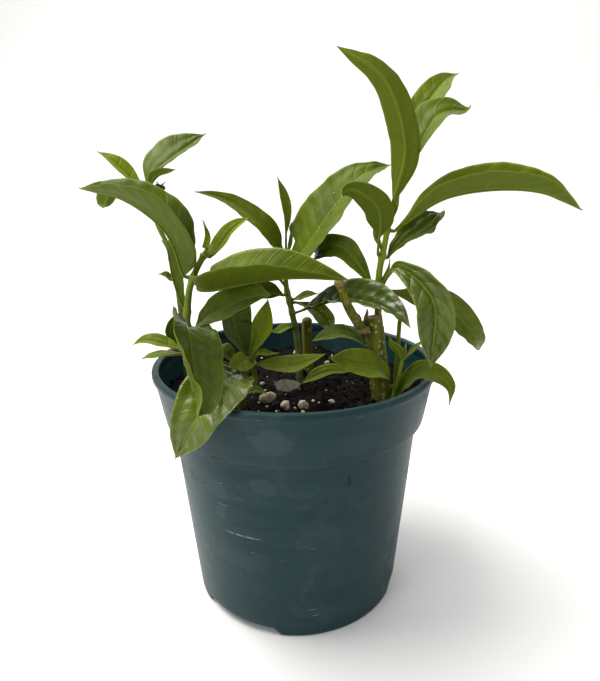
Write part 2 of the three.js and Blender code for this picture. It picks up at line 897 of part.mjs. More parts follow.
    width: 15,
    roll: [75, 85],
    fold: 20,
    petiole: 8,
  },
  {
    name: 'tall_top',
    stem: 'shoot_tall',
    midrib: [[47, -24, 216], [51, -29, 241], [41, -31, 268], [21, -26, 282]],
    width: 13,
    roll: [70, 85],
    fold: 20,
    petiole: 8,
    belly: 0.35,
    shoulder: 0.5,
  },
  {
    name: 'tall_back',
    stem: 'shoot_tall',
    midrib: [[49, -17, 218], [63, -2, 256], [76, 8, 273], [84, 13, 277]],
    width: 15,
    roll: [0, 25],
    fold: 15,
    petiole: 12,
    belly: 0.60,
  },
  {
    name: 'tall_right',
    stem: 'shoot_tall',
    midrib: [[48, -22, 217], [58, -21, 240], [68, -20, 256], [83, -17, 256]],
    width: 21,
    roll: [-10, 40],
    fold: 15,
    petiole: 9,
    belly: 0.60,
  },
];

for (const leaf of LEAVES) add(`leaf_${leaf.name}`, leafBlade(leaf), leaf.finish ?? 'leaf');

export default plant;
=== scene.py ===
"""Looks of the potted night-blooming jasmine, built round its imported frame.

Everything is in metres in the part's own frame: +Z up, the front at -Y. Lengths of plant detail are
given in millimetres and go through MM.
"""

import math

import bmesh
import bpy
import numpy as np
from mathutils import Matrix, Vector


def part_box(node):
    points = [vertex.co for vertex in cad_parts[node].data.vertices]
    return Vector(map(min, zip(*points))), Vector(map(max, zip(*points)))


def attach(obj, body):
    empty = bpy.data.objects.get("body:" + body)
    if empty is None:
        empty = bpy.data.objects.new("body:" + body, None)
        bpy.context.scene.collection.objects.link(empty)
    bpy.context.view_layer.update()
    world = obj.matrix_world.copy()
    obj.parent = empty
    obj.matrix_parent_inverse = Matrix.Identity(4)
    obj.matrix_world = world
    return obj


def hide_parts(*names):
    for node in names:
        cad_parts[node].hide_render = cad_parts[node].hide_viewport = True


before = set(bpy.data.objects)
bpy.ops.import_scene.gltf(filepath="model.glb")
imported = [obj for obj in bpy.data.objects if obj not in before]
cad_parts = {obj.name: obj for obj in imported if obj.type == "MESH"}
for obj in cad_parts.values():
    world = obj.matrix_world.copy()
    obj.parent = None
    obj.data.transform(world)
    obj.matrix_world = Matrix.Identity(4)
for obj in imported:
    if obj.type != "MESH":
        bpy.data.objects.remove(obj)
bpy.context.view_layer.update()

MM = 0.001
SOIL_LEVEL = 116.0
POT_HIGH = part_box("nursery_pot")[1] / MM
POT_HEIGHT, POT_RIM = POT_HIGH.z, POT_HIGH.x
POT_BAND = POT_HEIGHT - 29.0      # height of the band's lower edge
POT_LIP = POT_HEIGHT - 3.6        # height of the lip's lower edge
POT_FOOT = 58.0                   # radius of the wall at the floor
BAND_FOOT = 70.4                  # radius of the band at its lower edge


# ---- Camera and light -----------------------------------------------------------------------------

CAMERA_AT = (0.0, -0.2884, 0.2310)
CAMERA_TILT, CAMERA_ROLL, CAMERA_PAN = 73.08, 0.72, -0.89     # degrees about X, Y and Z
CAMERA_LENS = 29.25                                           # mm, on a 36 mm sensor


def place_camera():
    data = bpy.data.cameras.new("camera")
    data.lens = CAMERA_LENS
    data.sensor_width = 36.0
    data.clip_start = 0.01
    camera = bpy.data.objects.new("camera", data)
    camera.location = CAMERA_AT
    camera.rotation_euler = [math.radians(turn) for turn in (CAMERA_TILT, CAMERA_ROLL, CAMERA_PAN)]
    bpy.context.collection.objects.link(camera)
    bpy.context.scene.camera = camera


def area_light(name, at, target, size, power, colour=(1, 1, 1)):
    data = bpy.data.lights.new(name, "AREA")
    data.shape = "RECTANGLE"
    data.size, data.size_y = size
    data.energy = power
    data.color = colour
    light = bpy.data.objects.new(name, data)
    light.location = at
    light.rotation_euler = (Vector(target) - Vector(at)).to_track_quat("-Z", "Y").to_euler()
    bpy.context.collection.objects.link(light)


def light_studio():
    area_light("key", (-0.55, 0.10, 1.15), (0, 0, 0.12), (0.8, 0.8), 19.0, (1.0, 0.99, 0.95))
    area_light("fill", (-0.85, -0.75, 0.55), (0, 0, 0.10), (0.55, 0.8), 4.0, (0.94, 0.98, 1.0))
    area_light("side", (0.9, -0.5, 0.8), (0, 0, 0.15), (0.6, 0.6), 1.6)
    area_light("backdrop", (0.0, 1.0, 1.9), (0, 1.9, 0.5), (3.0, 0.6), 26.0)
    world = bpy.data.worlds.new("studio")
    world.use_nodes = True
    background = world.node_tree.nodes["Background"]
    background.inputs["Color"].default_value = (1.0, 0.99, 0.96, 1)
    background.inputs["Strength"].default_value = 0.42
    bpy.context.scene.world = world
    bpy.context.scene.view_settings.view_transform = "Standard"


# ---- Node materials -------------------------------------------------------------------------------

class Surface:
    """A node material under construction: one Principled shader and short calls for its nodes."""

    def __init__(self, name, roughness=0.5, specular=0.5):
        self.material = bpy.data.materials.new(name)
        self.material.use_nodes = True
        self.tree = self.material.node_tree
        self.shader = self.tree.nodes["Principled BSDF"]
        self.shader.inputs["Roughness"].default_value = roughness
        self.shader.inputs["Specular IOR Level"].default_value = specular
        self.place = self.tree.nodes.new("ShaderNodeTexCoord").outputs["Object"]
        self.bumps = None

    def plug(self, socket, value):
        if isinstance(value, bpy.types.NodeSocket):
            self.tree.links.new(value, socket)
        elif socket.type == "RGBA":
            socket.default_value = (*value, 1) if isinstance(value, tuple) else (value, value, value, 1)
        else:
            socket.default_value = value

    def attribute(self, name):
        node = self.tree.nodes.new("ShaderNodeAttribute")
        node.attribute_name = name
        return node.outputs["Fac"]

    def math(self, kind, a, b=0.0, clamp=False):
        node = self.tree.nodes.new("ShaderNodeMath")
        node.operation = kind
        node.use_clamp = clamp
        self.plug(node.inputs[0], a)
        self.plug(node.inputs[1], b)
        return node.outputs[0]

    def ramp(self, value, low, high, to_low=0.0, to_high=1.0):
        """value taken smoothly from to_low at low to to_high at high."""
        node = self.tree.nodes.new("ShaderNodeMapRange")
        node.interpolation_type = "SMOOTHSTEP"
        self.plug(node.inputs["Value"], value)
        given = {"From Min": low, "From Max": high, "To Min": to_low, "To Max": to_high}
        for socket, number in given.items():
            node.inputs[socket].default_value = number
        return node.outputs["Result"]

    def mix(self, part, a, b, kind="MIX"):
        node = self.tree.nodes.new("ShaderNodeMix")
        node.data_type = "RGBA"
        node.blend_type = kind
        self.plug(node.inputs[0], part)
        self.plug(node.inputs[6], a)
        self.plug(node.inputs[7], b)
        return node.outputs[2]

    def stretched(self, scale):
        node = self.tree.nodes.new("ShaderNodeMapping")
        self.plug(node.inputs["Vector"], self.place)
        node.inputs["Scale"].default_value = scale
        return node.outputs["Vector"]

    def noise(self, scale, detail=3.0, roughness=0.5, distortion=0.0, stretch=None):
        node = self.tree.nodes.new("ShaderNodeTexNoise")
        self.plug(node.inputs["Vector"], self.stretched(stretch) if stretch else self.place)
        node.inputs["Scale"].default_value = scale
        node.inputs["Detail"].default_value = detail
        node.inputs["Roughness"].default_value = roughness
        node.inputs["Distortion"].default_value = distortion
        return node.outputs["Fac"]

    def cells(self, scale, feature="F1", stretch=None):
        node = self.tree.nodes.new("ShaderNodeTexVoronoi")
        node.feature = feature
        self.plug(node.inputs["Vector"], self.stretched(stretch) if stretch else self.place)
        node.inputs["Scale"].default_value = scale
        return node.outputs["Distance"]

    def near(self, place, reach, blur=None, spread=1.6):
        """1 round a place in millimetres and 0 beyond its reach; blur, a noise, frays the edge."""
        node = self.tree.nodes.new("ShaderNodeMapping")
        self.plug(node.inputs["Vector"], self.place)
        node.inputs["Scale"].default_value = tuple(1 / (MM * far) for far in reach)
        node.inputs["Location"].default_value = tuple(-at / far for at, far in zip(place, reach))
        length = self.tree.nodes.new("ShaderNodeVectorMath")
        length.operation = "LENGTH"
        self.plug(length.inputs[0], node.outputs["Vector"])
        distance = length.outputs["Value"]
        if blur is not None:
            fray = self.math("MULTIPLY", self.math("SUBTRACT", blur, 0.5), spread * 2)
            distance = self.math("ADD", distance, fray)
        return self.ramp(distance, 0.62, 1.0, 1.0, 0.0)

    def bump(self, height, strength, distance):
        node = self.tree.nodes.new("ShaderNodeBump")
        node.inputs["Strength"].default_value = strength
        node.inputs["Distance"].default_value = distance
        self.plug(node.inputs["Height"], height)
        if self.bumps is not None:
            self.tree.links.new(self.bumps, node.inputs["Normal"])
        self.bumps = node.outputs["Normal"]

    def finish(self, colour=None, roughness=None):
        if colour is not None:
            self.plug(self.shader.inputs["Base Color"], colour)
        if roughness is not None:
            self.plug(self.shader.inputs["Roughness"], roughness)
        if self.bumps is not None:
            self.tree.links.new(self.bumps, self.shader.inputs["Normal"])
        return self.material


def leaf_material():
    s = Surface("leaf_blade")
    under = s.attribute("under")
    tone = s.attribute("tone")
    midrib = s.attribute("mm")
    edge = s.attribute("edge")
    vein = s.attribute("vein")
    dry = s.attribute("dry")
    along = s.attribute("along")
    patch = s.noise(55.0, 4.0)
    mottle = s.noise(420.0, 3.0, 0.6)
    # How far along the span from one side vein to the next, as distance from the nearest vein.
    phase = s.math("ABSOLUTE", s.math("SUBTRACT", s.math("FRACT", s.math("ADD", vein, 0.5)), 0.5))
    side_vein = s.ramp(phase, 0.03, 0.10, 1.0, 0.0)
    rib = s.ramp(s.math("ABSOLUTE", midrib), 0.35, 0.95, 1.0, 0.0)
    margin = s.ramp(edge, 0.15, 0.75, 1.0, 0.0)

    dark = s.mix(s.ramp(patch, 0.3, 0.7), (0.022, 0.040, 0.0018), (0.038, 0.065, 0.0028))
    bright = s.mix(s.ramp(patch, 0.3, 0.7), (0.140, 0.188, 0.0050), (0.205, 0.262, 0.0085))
    upper = s.mix(tone, dark, bright)
    upper = s.mix(s.math("MULTIPLY", s.ramp(mottle, 0.45, 0.75), 0.25), upper, (0.070, 0.105, 0.0050))
    upper = s.mix(s.math("MULTIPLY", side_vein, 0.08), upper, (0.15, 0.21, 0.015))
    upper = s.mix(s.math("MULTIPLY", rib, 0.32), upper, (0.19, 0.26, 0.020))
    lower = s.mix(tone, (0.055, 0.078, 0.0040), (0.115, 0.157, 0.0070))
    lower = s.mix(s.math("MULTIPLY", s.ramp(patch, 0.35, 0.7), 0.35), lower, (0.085, 0.108, 0.0065))
    lower = s.mix(s.math("MULTIPLY", side_vein, 0.14), lower, (0.15, 0.20, 0.022))
    lower = s.mix(s.math("MULTIPLY", rib, 0.40), lower, (0.17, 0.23, 0.025))
    colour = s.mix(under, upper, lower)
    colour = s.mix(s.math("MULTIPLY", margin, 0.45), colour, (0.21, 0.27, 0.035))
    frayed = s.math("ADD", edge, s.math("MULTIPLY", patch, 3.0))
    scorch = s.math("MULTIPLY", dry, s.ramp(frayed, 1.6, 2.6, 1.0, 0.0))
    colour = s.mix(scorch, colour, (0.17, 0.085, 0.03))
    colour = s.mix(s.ramp(along, 0.975, 1.0, 0.0, 0.55), colour, (0.20, 0.15, 0.05))

    network = s.cells(900.0, "DISTANCE_TO_EDGE")
    s.bump(s.ramp(network, 0.0, 0.18), 0.16, 0.0003)
    s.bump(s.math("MULTIPLY", side_vein, s.math("SUBTRACT", under, 0.5)), 0.5, 0.0006)
    s.bump(s.noise(240.0, 4.0, 0.6), 0.25, 0.0010)
    wax = s.attribute("gloss")
    satin = s.math("SUBTRACT", s.ramp(mottle, 0.2, 0.8, 0.30, 0.44), s.math("MULTIPLY", wax, 0.15))
    shine = s.math("ADD", 0.13, s.math("MULTIPLY", wax, 0.40))
    s.plug(s.shader.inputs["Specular IOR Level"], s.mix(under, shine, 0.10))
    return s.finish(colour, s.mix(under, satin, 0.60))


def shoot_material():
    s = Surface("green_shoot", specular=0.20)
    tone = s.attribute("tone")
    streak = s.noise(300.0, 4.0, 0.6, stretch=(1, 1, 0.16))
    patch = s.noise(90.0, 3.0)
    green = s.mix(s.ramp(streak, 0.3, 0.7), (0.115, 0.160, 0.0075), (0.200, 0.255, 0.018))
    brown = s.mix(s.ramp(streak, 0.3, 0.7), (0.040, 0.045, 0.008), (0.090, 0.090, 0.020))
    colour = s.mix(s.ramp(s.math("ADD", tone, s.math("MULTIPLY", patch, 0.4)), 0.45, 0.95), brown, green)
    fleck = s.ramp(s.cells(330.0, stretch=(1, 1, 0.45)), 0.10, 0.20, 1.0, 0.0)
    colour = s.mix(s.math("MULTIPLY", fleck, 0.3), colour, (0.26, 0.29, 0.10))
    s.bump(streak, 0.35, 0.0006)
    s.bump(fleck, 0.3, 0.0004)
    return s.finish(colour, s.ramp(patch, 0.2, 0.8, 0.42, 0.58))


def bark_material():
    s = Surface("cane_bark", specular=0.15)
    wart = s.attribute("wart")
    cut = s.attribute("cut")
    streak = s.noise(230.0, 6.0, 0.65, 0.4, stretch=(1, 1, 0.10))
    patch = s.noise(70.0, 4.0, 0.6)
    height = s.tree.nodes.new("ShaderNodeSeparateXYZ")
    s.plug(height.inputs[0], s.place)
    low = s.ramp(height.outputs[2], 0.118, 0.165, 1.0, 0.0)
    bark = s.mix(s.ramp(streak, 0.32, 0.68), (0.055, 0.056, 0.005), (0.165, 0.155, 0.018))
    green = s.mix(s.ramp(streak, 0.32, 0.68), (0.080, 0.096, 0.007), (0.200, 0.215, 0.022))
    high_up = s.math("SUBTRACT", 1.0, s.math("MULTIPLY", low, 0.6))
    colour = s.mix(s.math("MULTIPLY", s.ramp(patch, 0.35, 0.65), high_up), bark, green)
    colour = s.mix(s.math("MULTIPLY", s.ramp(wart, 0.25, 0.8), 0.75), colour, (0.42, 0.42, 0.20))
    wood = s.mix(s.ramp(s.noise(900.0, 4.0), 0.3, 0.7), (0.19, 0.115, 0.065), (0.36, 0.25, 0.15))
    colour = s.mix(cut, colour, wood)
    s.bump(streak, 0.8, 0.0010)
    s.bump(s.noise(1400.0, 3.0), 0.25, 0.0004)
    return s.finish(colour, s.ramp(patch, 0.2, 0.8, 0.6, 0.8))


def body(z):
    """Outer radius of the pot below its band."""
    return POT_FOOT + 9.0 * z / POT_BAND


def belt(z):
    """Outer radius of the pot's band."""
    return BAND_FOOT + (POT_RIM - 1.3 - BAND_FOOT) * (z - POT_BAND) / (POT_LIP - POT_BAND)


def on_wall(bearing, height):
    """A point on the pot's outside, at a bearing in degrees and a height in millimetres."""
    radius = belt(height) if height > POT_BAND else body(height)
    turn = math.radians(bearing)
    return radius * math.cos(turn), radius * math.sin(turn), height


# Marks on the pot: bearing and height, how far they reach and, for a splash, how pale it is.
SPLASHES = [(on_wall(-99, 118), (11, 14, 9), 0.13), (on_wall(-68, 115), (11, 14, 7), 0.05),
            (on_wall(-103, 92), (8, 10, 6), 0.12), (on_wall(-126, 85), (9, 10, 5), 0.09),
            (on_wall(-125, 72), (4, 8, 5), 0.12), (on_wall(-118, 46), (13, 12, 8), 0.05)]
LONG_SCRATCH = (on_wall(-115, 61.4), (12, 14, 0.45))
DIRT = [(on_wall(-122, 105.3), (8, 9, 1.3)), (on_wall(-110, 104.6), (9, 9, 0.7)),
        (on_wall(-68, 94), (0.9, 4, 4)), (on_wall(-35, 117), (1, 3, 6)),
        (on_wall(-78, 84), (0.7, 3, 0.9)), (on_wall(-56, 66), (0.6, 3, 1))]


def pot_material():
    s = Surface("nursery_plastic", specular=0.17)
    haze = s.noise(17.0, 5.0, 0.55, 0.6)
    smudge = s.noise(48.0, 6.0, 0.62, 0.9)
    fine = s.noise(700.0, 2.0)
    turned = s.noise(24.0, 5.0, 0.6, stretch=(1, 1, 9))
    veil = s.ramp(haze, 0.50, 0.72)
    spot = s.math("MULTIPLY", s.ramp(smudge, 0.52, 0.60), s.ramp(haze, 0.42, 0.56))
    colour = s.mix(s.ramp(turned, 0.3, 0.7), (0.0065, 0.0290, 0.0335), (0.0095, 0.0350, 0.0395))
    colour = s.mix(s.math("MULTIPLY", veil, 0.16), colour, (0.055, 0.085, 0.088))
    colour = s.mix(s.math("MULTIPLY", spot, 0.12), colour, (0.085, 0.115, 0.115))
    scratch = s.math("MULTIPLY",
                     s.ramp(s.noise(95.0, 2.0, 0.4, 0.3, stretch=(1, 1, 11)), 0.715, 0.735),
                     s.ramp(s.noise(31.0, 2.0), 0.52, 0.60))
    colour = s.mix(s.math("MULTIPLY", scratch, 0.45), colour, (0.26, 0.29, 0.28))
    # Marks on the front: dried splashes, one long scratch, dirt under the band, a drip and a dark nick.
    splash = 0.0
    for place, reach, strength in SPLASHES:
        splash = s.math("MAXIMUM", splash, s.math("MULTIPLY", s.near(place, reach, smudge), strength))
    colour = s.mix(splash, colour, (0.120, 0.155, 0.155))
    line = s.math("MULTIPLY", s.near(*LONG_SCRATCH), s.ramp(fine, 0.30, 0.55))
    colour = s.mix(s.math("MULTIPLY", line, 0.6), colour, (0.30, 0.33, 0.32))
    dirt = 0.0
    for place, reach in DIRT:
        dirt = s.math("MAXIMUM", dirt, s.near(place, reach, s.noise(420.0, 4.0, 0.7), 1.1))
    colour = s.mix(s.math("MULTIPLY", dirt, 0.85), colour, (0.0050, 0.0040, 0.0032))
    grit = s.ramp(s.cells(210.0), 0.045, 0.075, 1.0, 0.0)
    grit = s.math("MULTIPLY", grit, s.ramp(s.noise(60.0), 0.50, 0.60))
    colour = s.mix(s.math("MULTIPLY", grit, 0.6), colour, (0.055, 0.050, 0.042))
    s.bump(turned, 0.04, 0.0010)
    s.bump(fine, 0.10, 0.0003)
    s.bump(scratch, 0.2, 0.0003)
    dull = s.math("MULTIPLY", s.math("ADD", veil, spot), 0.13)
    rough = s.math("ADD", s.ramp(fine, 0.2, 0.8, 0.36, 0.44), dull)
    return s.finish(colour, rough)


def soil_material():
    s = Surface("potting_mix", specular=0.07)
    coarse = s.noise(260.0, 6.0, 0.7)
    fine = s.noise(1600.0, 4.0, 0.7)
    fibre = s.noise(520.0, 5.0, 0.65, 1.2, stretch=(1, 0.35, 0.7))
    colour = s.mix(s.ramp(coarse, 0.35, 0.7), (0.0016, 0.0011, 0.0008), (0.0085, 0.0050, 0.0028))
    colour = s.mix(s.math("MULTIPLY", s.ramp(fibre, 0.62, 0.74), 0.50), colour, (0.036, 0.020, 0.010))
    colour = s.mix(s.math("MULTIPLY", s.ramp(fine, 0.69, 0.78), 0.4), colour, (0.085, 0.068, 0.052))
    s.bump(coarse, 1.0, 0.0016)
    s.bump(fine, 0.6, 0.0006)
    return s.finish(colour, s.ramp(coarse, 0.35, 0.7, 0.42, 0.95))


def mineral_material():
    s = Surface("expanded_perlite", specular=0.3)
    pit = s.cells(950.0)
    stain = s.noise(330.0, 5.0, 0.65)
    colour = s.mix(s.ramp(stain, 0.38, 0.70), (0.74, 0.65, 0.50), (0.46, 0.34, 0.20))
    colour = s.mix(s.math("MULTIPLY", s.ramp(pit, 0.10, 0.28, 1.0, 0.0), 0.45), colour, (0.28, 0.20, 0.12))
    s.bump(pit, 0.7, 0.0006)
    s.bump(stain, 0.4, 0.0005)
    return s.finish(colour, 0.85)


def litter_material():
    s = Surface("dry_litter", specular=0.25)
    grain = s.noise(330.0, 6.0, 0.6, 0.8, stretch=(1.0, 0.22, 1.0))
    colour = s.mix(s.ramp(grain, 0.3, 0.7), (0.048, 0.044, 0.032), (0.120, 0.110, 0.080))
    s.bump(grain, 0.8, 0.0008)
    return s.finish(colour, 0.8)


def withered_material():
    s = Surface("withered_tissue", specular=0.3)
    grain = s.noise(520.0, 5.0, 0.6)
    colour = s.mix(s.ramp(grain, 0.3, 0.7), (0.020, 0.028, 0.005), (0.085, 0.105, 0.018))
    s.bump(grain, 0.8, 0.0008)
    return s.finish(colour, 0.7)


def water_material():
    s = Surface("water_drop", roughness=0.03)
    s.shader.inputs["Transmission Weight"].default_value = 1.0
    s.shader.inputs["IOR"].default_value = 1.33
    tint = s.mix(s.noise(300.0), (0.93, 0.97, 0.90), (1.0, 1.0, 0.98))
    s.bump(s.noise(500.0), 0.05, 0.0002)
    return s.finish(tint)


# ---- Meshes ---------------------------------------------------------------------------------------

def piece(name, points, faces, material, attributes=None, replaces=()):
    """A finished piece from points in millimetres."""
    mesh = bpy.data.meshes.new(name)
    mesh.from_pydata((np.asarray(points) * MM).tolist(), [], faces)
    mesh.update()
    mesh.polygons.foreach_set("use_smooth", [True] * len(mesh.polygons))
    for key, values in (attributes or {}).items():
        layer = mesh.attributes.new(key, "FLOAT", "POINT")
        layer.data.foreach_set("value", np.asarray(values, np.float32))
    mesh.materials.append(material)
    obj = bpy.data.objects.new(name, mesh)
    bpy.context.collection.objects.link(obj)
    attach(obj, "root")
    if replaces:
        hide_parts(*replaces)
    return obj


class Shell:
    """Points, faces and per-point values of a piece that is made of several closed shells."""

    def __init__(self):
        self.points, self.faces, self.values = [], [], {}

    def add(self, points, faces, **values):
        start = len(self.points)
        self.points.extend(map(tuple, points))
        self.faces.extend([tuple(int(i) + start for i in face) for face in faces])
        count = len(points)
        for key in set(self.values) | set(values):
            column = self.values.setdefault(key, [0.0] * start)
            given = values.get(key, 0.0)
            column.extend(np.broadcast_to(np.asarray(given, float), (count,)).tolist())

    def piece(self, name, material, slot, replaces=()):
        return piece(name, self.points, self.faces, material, self.values, replaces)


def loft_faces(rows, sides, flip=False):
    """Quads between rings of equally many points, and a fan on the last two points, which close the ends."""
    faces = []
    for row in range(rows - 1):
        for side in range(sides):
            a, b = row * sides + side, row * sides + (side + 1) % sides
            faces.append((a, b, b + sides, a + sides))
    low, high = rows * sides, rows * sides + 1
    for side in range(sides):
        after = (side + 1) % sides
        faces.append((low, after, side))
        faces.append((high, (rows - 1) * sides + side, (rows - 1) * sides + after))
    return [face[::-1] for face in faces] if flip else faces


def spline(points, count):
    """count points, evenly spread by parameter, on a Catmull-Rom curve through the rows of points."""
    points = np.asarray(points, float)
    last = len(points) - 1
    padded = np.concatenate([[2 * points[0] - points[1]], points, [2 * points[-1] - points[-2]]])
    at = np.linspace(0, last, count)
    span = np.minimum(at.astype(int), last - 1)
    t = (at - span).reshape((-1,) + (1,) * (points.ndim - 1))
    a, b, c, d = (padded[span + i] for i in range(4))
    return 0.5 * (2 * b + (c - a) * t + (2 * a - 5 * b + 4 * c - d) * t ** 2
                  + (3 * b - a - 3 * c + d) * t ** 3)


def evenly(points, step):
    """Points every step millimetres, or a little less, along a smooth curve through points."""
    fine = spline(points, 60 * len(points))
    run = np.concatenate([[0], np.cumsum(np.linalg.norm(np.diff(fine, axis=0), axis=1))])
    count = max(4, int(math.ceil(run[-1] / step)) + 1)
    at = np.linspace(0, run[-1], count)
    return np.stack([np.interp(at, run, fine[:, k]) for k in range(3)], axis=1), run[-1]


def unit(v):
    return v / np.maximum(np.linalg.norm(v, axis=-1, keepdims=True), 1e-9)


def frames_along(line):
    """Tangent and two cross directions at each point of a line, turning as little as possible."""
    tangent = unit(np.gradient(line, axis=0))
    start = np.cross(tangent[0], (0.31, 0.95, 0.07))
    side = [unit(start)]
    for t in tangent[1:]:
        side.append(unit(side[-1] - t * (side[-1] @ t)))
    side = np.array(side)
    return tangent, side, np.cross(tangent, side)


def rod(line, radius, sides=16, shape=None, ends=(0.35, 0.35)):
    """A round rod along line: radius for each point, and shape(angle, row) as a factor on it. Each end is
    domed by its part of the radius."""
    tangent, side, other = frames_along(line)
    angle = 2 * math.pi * np.arange(sides) / sides
    factor = np.ones((len(line), sides))
    if shape is not None:
        factor = shape(angle[None, :], np.arange(len(line))[:, None])
    reach = np.asarray(radius, float).reshape(-1, 1) * factor
    ring = (line[:, None, :] + reach[..., None] * (np.cos(angle)[None, :, None] * side[:, None, :]
                                                   + np.sin(angle)[None, :, None] * other[:, None, :]))
    low = line[0] - tangent[0] * ends[0] * radius[0]
    high = line[-1] + tangent[-1] * ends[1] * radius[-1]
    points = np.concatenate([ring.reshape(-1, 3), [low, high]])
    return points, loft_faces(len(line), sides, flip=True)


# ---- Reading the frame's lofted solids --------------------------------------------------------------

def merged_node(name):
    """A CAD node's points in millimetres, each once, and the points that each one shares an edge with."""
    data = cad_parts[name].data
    place = {}
    index = []
    for v in data.vertices:
        key = tuple(round(c / MM, 3) for c in v.co)
        index.append(place.setdefault(key, len(place)))
    near = [set() for _ in place]
    for polygon in data.polygons:
        corners = [index[v] for v in polygon.vertices]
        for a, b in zip(corners, corners[1:] + corners[:1]):
            if a != b:
                near[a].add(b)
                near[b].add(a)
    return np.array(list(place)), near


def read_rings(name, sides, foot):
    """The rings of a lofted CAD node, [ring, side, xyz], from the end nearest to the point foot."""
    points, near = merged_node(name)
    poles = [i for i, ring in enumerate(near) if len(ring) == sides]
    poles.sort(key=lambda i: np.linalg.norm(points[i] - foot))
    levels, seen = [{poles[0]}], {poles[0]}
    while True:
        following = set().union(*(near[i] for i in levels[-1])) - seen
        if not following:
            break
        seen |= following
        levels.append(following)
    levels = levels[1:]
    whole = [level for level in levels if len(level) == sides]
    loose = set().union(*(level for level in levels if len(level) != sides))
    levels = whole
    first = min(levels[0])
    order = [first]
    while len(order) < sides:
        order.append(next(i for i in near[order[-1]] & levels[0] if i not in order))
    rings, step_same, step_next = [order], 0.0, 0.0
    for level in levels[1:]:
        before = rings[-1]
        after = [next(iter(near[before[j]] & near[before[(j + 1) % sides]] & level)) for j in range(sides)]
        for j in range(sides):
            step_same += np.sum((points[after[j]] - points[before[j]]) ** 2)
            step_next += np.sum((points[after[j]] - points[before[(j + 1) % sides]]) ** 2)
        rings.append(after)
    if step_next < step_same:
        rings = [ring[-k % sides:] + ring[:-k % sides] for k, ring in enumerate(rings)]
    rings = points[np.array(rings)]
    if len(loose) > 1:
        # The last ring and its pole came as one cluster: a small copy of the ring before stands for it.
        end = points[sorted(loose)].mean(axis=0)
        before = rings[-1].mean(axis=0)
        rings = np.concatenate([rings, [end + 0.15 * (rings[-1] - before)]])
    return rings


def read_stem(name):
    """Centreline and radii of a stem, from the bottom up."""
    points, _ = merged_node(name)
    foot = points[points[:, 2].argmin()]
    rings = read_rings(name, 7, foot)
    centre = rings.mean(axis=1)
    radius = np.linalg.norm(rings - centre[:, None], axis=2).mean(axis=1)
    return centre, radius


# Tracks of a leaf run from its foot to its tip: margin, middle of the half, midrib, middle of the other
# half and other margin. The upper face is on the side that the halves fold towards.
def read_leaf(name, foot):
    rings = read_rings("leaf_" + name, 8, foot)
    spread = np.linalg.norm(rings[:, :4] - rings[:, 4:], axis=2)
    widest = int(spread.max(axis=1).argmax())
    rings = np.roll(rings, -int(spread[widest].argmax()), axis=1)
    between = (rings[widest, 0] + rings[widest, 4]) / 2
    if np.linalg.norm(rings[widest, 2] - between) > np.linalg.norm(rings[widest, 6] - between):
        rings = rings[:, [0, 7, 6, 5, 4, 3, 2, 1]]
    middle = rings[:, 2] + 0.226 * (rings[:, 6] - rings[:, 2])
    return np.stack([rings[:, 0], (rings[:, 1] + rings[:, 7]) / 2, middle,
                     (rings[:, 3] + rings[:, 5]) / 2, rings[:, 4]], axis=1)


STEMS = {name: read_stem(name) for name in (
    "stem_left", "stem_left_back", "stem_front", "stem_centre", "stump_centre", "shoot_tall",
    "stem_bare", "shoot_small")}
STEMS["cane_main"] = (np.array([[45, -24, 90], [45, -24, 116], [43, -24, 134], [41, -23, 150],
                                [39.5, -22, 162.0]]), np.array([5.0, 4.8, 4.6, 4.4, 4.3]))


def nearest_on(stem, point):
    line = evenly(STEMS[stem][0], 1.0)[0]
    return line[np.linalg.norm(line - point, axis=1).argmin()]


# ---- Leaves ---------------------------------------------------------------------------------------

COLUMNS = 24          # strips across a blade
BLADE = 0.36          # thickness of a blade
ROW = 0.95            # length of a blade between two rows


def made_tracks(midrib, width, roll, fold, bare=0.05, belly=0.42):
    """Tracks of a small leaf that has no CAD solid, from its midrib."""
    line, _ = evenly(midrib, 2.0)
    tangent = unit(np.gradient(line, axis=0))
    chord = line[-1] - line[0]
    level = unit(np.array([-chord[1], chord[0], 0.0]))
    tracks = []
    for i, along in enumerate(np.linspace(0, 1, len(line))):
        t = tangent[i]
        across = unit(level - t * (level @ t))
        turn = math.radians(roll[0] + (roll[1] - roll[0]) * along)
        across = across * math.cos(turn) + np.cross(t, across) * math.sin(turn)
        upper = np.cross(t, across)
        blade = min(1.0, max(0.0, (along - bare) / (1 - bare)))
        half = width / 2 * math.sin(math.pi * blade ** (math.log(0.5) / math.log(belly))) ** 0.85 + 0.4
        lift = math.sin(math.radians(fold))
        flat = math.cos(math.radians(fold))
        tracks.append([line[i] + s * half * (across * flat + upper * lift * abs(s))
                       for s in (1, 0.5, 0, -0.5, -1)])
    return np.array(tracks)


def blade_surface(tracks, rows):
    """Middle surface of a blade, [row, column, xyz], and where each column lies: 1 to -1."""
    fine = spline(tracks, rows)
    s = np.linspace(-1, 1, COLUMNS + 1)
    s = np.sign(s) * np.abs(s) ** 1.2
    left = np.abs(s)[None, :, None]
    outer = np.where(s[None, :, None] > 0, fine[:, 0][:, None], fine[:, 4][:, None])
    half = np.where(s[None, :, None] > 0, fine[:, 1][:, None], fine[:, 3][:, None])
    middle = fine[:, 2][:, None]
    surface = (middle * (1 - left) * (1 - 2 * left) + half * 4 * left * (1 - left)
               + outer * left * (2 * left - 1))
    return surface, s


def surface_normals(surface, toward):
    along = np.gradient(surface, axis=0)
    across = np.gradient(surface, axis=1)
    normal = unit(np.cross(along, across))
    if np.sum(normal * toward) < 0:
        normal = -normal
    return normal


